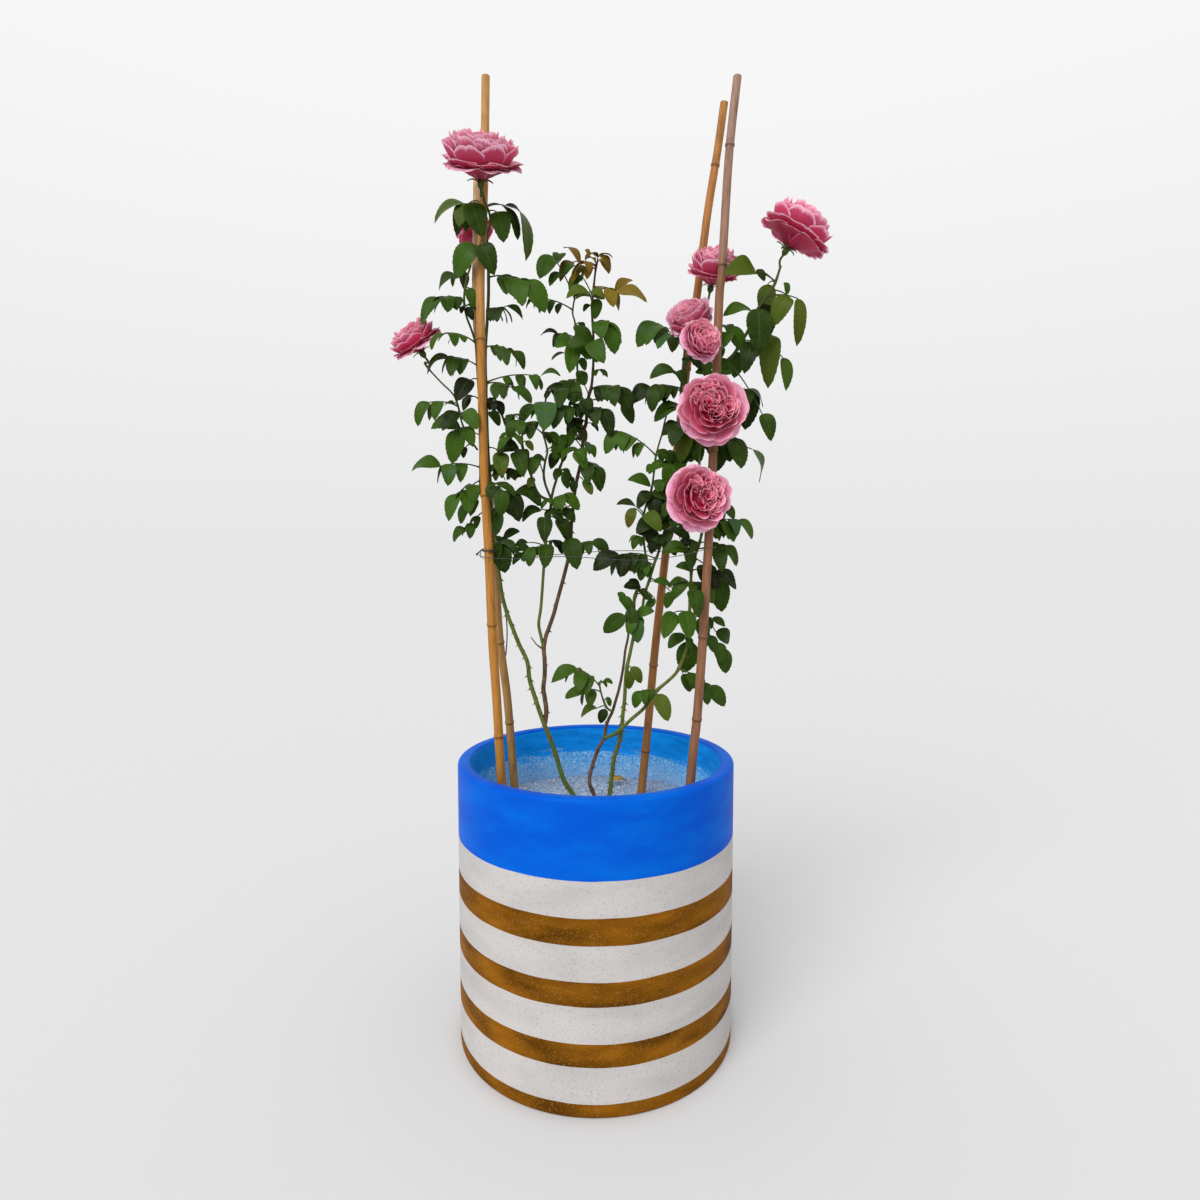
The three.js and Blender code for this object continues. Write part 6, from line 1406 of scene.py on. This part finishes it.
class ROSE_OT_ties(bpy.types.Operator):
    """Add the binding wire and the twisted tie"""
    bl_idname = "rose.ties"
    bl_label = "Wire and ties"

    def execute(self, context):
        settings = context.scene.rose_wires
        steel = plain_coat("Galvanised steel wire", "#4A4A48", 0.45, Metallic=0.7)
        plastic = plain_coat("Plastic-coated tie", "#1C1C1A", 0.5)
        loop, tie = settings.loop / MM, settings.tie / MM
        across, _, depth = nearest_on_route(CANES["cane_left_front"][1], TIE_ACROSS, TIE_HEIGHT)
        out = context.scene.rose_canes.radius / MM + TIE_GAP
        twist = []
        for step in range(TIE_STEPS + 1):
            angle = 2 * math.pi * TIE_TURNS * step / TIE_STEPS
            up = TIE_HEIGHT + TIE_RISE * step / TIE_STEPS
            twist.append((across + out * math.sin(angle), up, depth - out * math.cos(angle)))
        twist += [(across + right, TIE_HEIGHT + up, depth + back) for right, up, back in TIE_END]
        for name, route, steps, radius, materials, slot in (
                ("wire_loop", LOOP_ROUTE, 6, loop, [steel], "wire"),
                ("twist_tie", twist, 4, tie, [plastic, steel], "tie"),
                ("tie_tail", TAIL_ROUTE, 6, tie, [plastic], "tie")):
            form = Form()
            way = traced(route, steps)
            tube(form, way, [radius] * len(way), WIRE_SIDES, 0)
            if name == "twist_tie":
                # The steel core of the tie is bare at its end
                bare = way[-len(BARE_END):] + np.array((0, -0.4, 0))
                tube(form, bare, [tie * share for share in BARE_END], WIRE_SIDES, 1)
            put(form, name, materials)
        return {"FINISHED"}


class ROSE_OT_dry_leaf(bpy.types.Operator):
    """Add the dry leaf on the soil"""
    bl_idname = "rose.dry_leaf"
    bl_label = "Dry leaf"

    def execute(self, context):
        form = Form()
        leaflet(form, np.array((22.0, 112.0, SOIL_LEVEL + 7)), np.array((47.0, 122.0, SOIL_LEVEL + 5)),
                np.array((0, -0.35, 1.0)), 0.5, (0.8, 0.5, 0.9), Draws(3, 3), 0)
        withered = leaf_blade("Withered leaf", linear("#6A5228"), linear("#A88A48"), linear("#A07A3A"))
        put(form, "dry_leaf", [withered])
        return {"FINISHED"}


class ROSE_OT_stage(bpy.types.Operator):
    """Add the floor, the lights and the camera"""
    bl_idname = "rose.stage"
    bl_label = "Stage"

    def execute(self, context):
        scene = context.scene
        mesh = bpy.data.meshes.new("floor")
        far = 60.0
        mesh.from_pydata([(-far, -far, 0), (far, -far, 0), (far, far, 0), (-far, far, 0)], [], [[0, 1, 2, 3]])
        floor = bpy.data.objects.new("floor", mesh)
        scene.collection.objects.link(floor)
        # Matt paper, in the grey that the sky and the key light together turn into the horizon's own shade
        paper, tree, _ = new_material("Pale studio paper")
        finish(tree, linear("#CFCFD0"), 1.0, Specular_IOR_Level=0.0)
        mesh.materials.append(paper)
        # A pale surround that brightens upwards, as a lit studio wall does
        world = bpy.data.worlds.new("Studio")
        world.use_nodes = True
        tree = world.node_tree
        tree.nodes.clear()
        upwards = add(tree, "SeparateXYZ", {0: add(tree, "TexCoord", {}, "Generated")}, "Z")
        shade_up = add(tree, "ValToRGB", {0: upwards}, stops=((0.0, "#E7E7E8"), (0.5, "#F7F7F7")))
        add(tree, "OutputWorld", {"Surface": add(tree, "Background", {"Color": shade_up})})
        scene.world = world
        # One large soft light from the upper left in front
        lamp = bpy.data.lights.new("key light", "SUN")
        lamp.energy, lamp.angle = 2.0, math.radians(40)
        light = bpy.data.objects.new("key light", lamp)
        light.rotation_euler = (math.radians(56), 0, math.radians(-30))
        scene.collection.objects.link(light)
        lens = bpy.data.cameras.new("camera")
        lens.sensor_width, lens.lens = SENSOR_WIDTH, LENS_LENGTH
        camera = bpy.data.objects.new("camera", lens)
        camera.location = CAMERA_PLACE
        camera.rotation_euler = (math.radians(90 - CAMERA_DOWN), 0, 0)
        scene.collection.objects.link(camera)
        scene.camera = camera
        scene.view_settings.view_transform = "Standard"
        return {"FINISHED"}


SETTINGS = (
    ("rose_pot", PotSettings), ("rose_canes", CaneSettings), ("rose_plant", PlantSettings),
    ("rose_wires", WireSettings))
OPERATORS = (
    ROSE_OT_pot, ROSE_OT_soil, ROSE_OT_canes, ROSE_OT_shoots, ROSE_OT_blooms, ROSE_OT_ties,
    ROSE_OT_dry_leaf, ROSE_OT_stage)


class ROSE_PT_panel(bpy.types.Panel):
    """Sizes, colours and pieces of the climbing rose"""
    bl_idname = "ROSE_PT_panel"
    bl_label = "Climbing Rose"
    bl_space_type = "VIEW_3D"
    bl_region_type = "UI"
    bl_category = "Climbing Rose"

    def draw(self, context):
        for key, group in SETTINGS:
            box = self.layout.box()
            for setting in group.__annotations__:
                box.prop(getattr(context.scene, key), setting)
        for operator in OPERATORS:
            self.layout.operator(operator.bl_idname)


def register():
    """Register the settings, the operators and the panel."""
    for key, group in SETTINGS:
        bpy.utils.register_class(group)
        setattr(bpy.types.Scene, key, bpy.props.PointerProperty(type=group))
    for made in OPERATORS + (ROSE_PT_panel,):
        bpy.utils.register_class(made)


def unregister():
    """Take away what register added."""
    for made in reversed(OPERATORS + (ROSE_PT_panel,)):
        bpy.utils.unregister_class(made)
    for key, group in reversed(SETTINGS):
        delattr(bpy.types.Scene, key)
        bpy.utils.unregister_class(group)


def main():
    """Make every piece."""
    register()
    for operator in OPERATORS:
        category, name = operator.bl_idname.split(".")
        getattr(getattr(bpy.ops, category), name)()


if __name__ == "__main__":
    main()
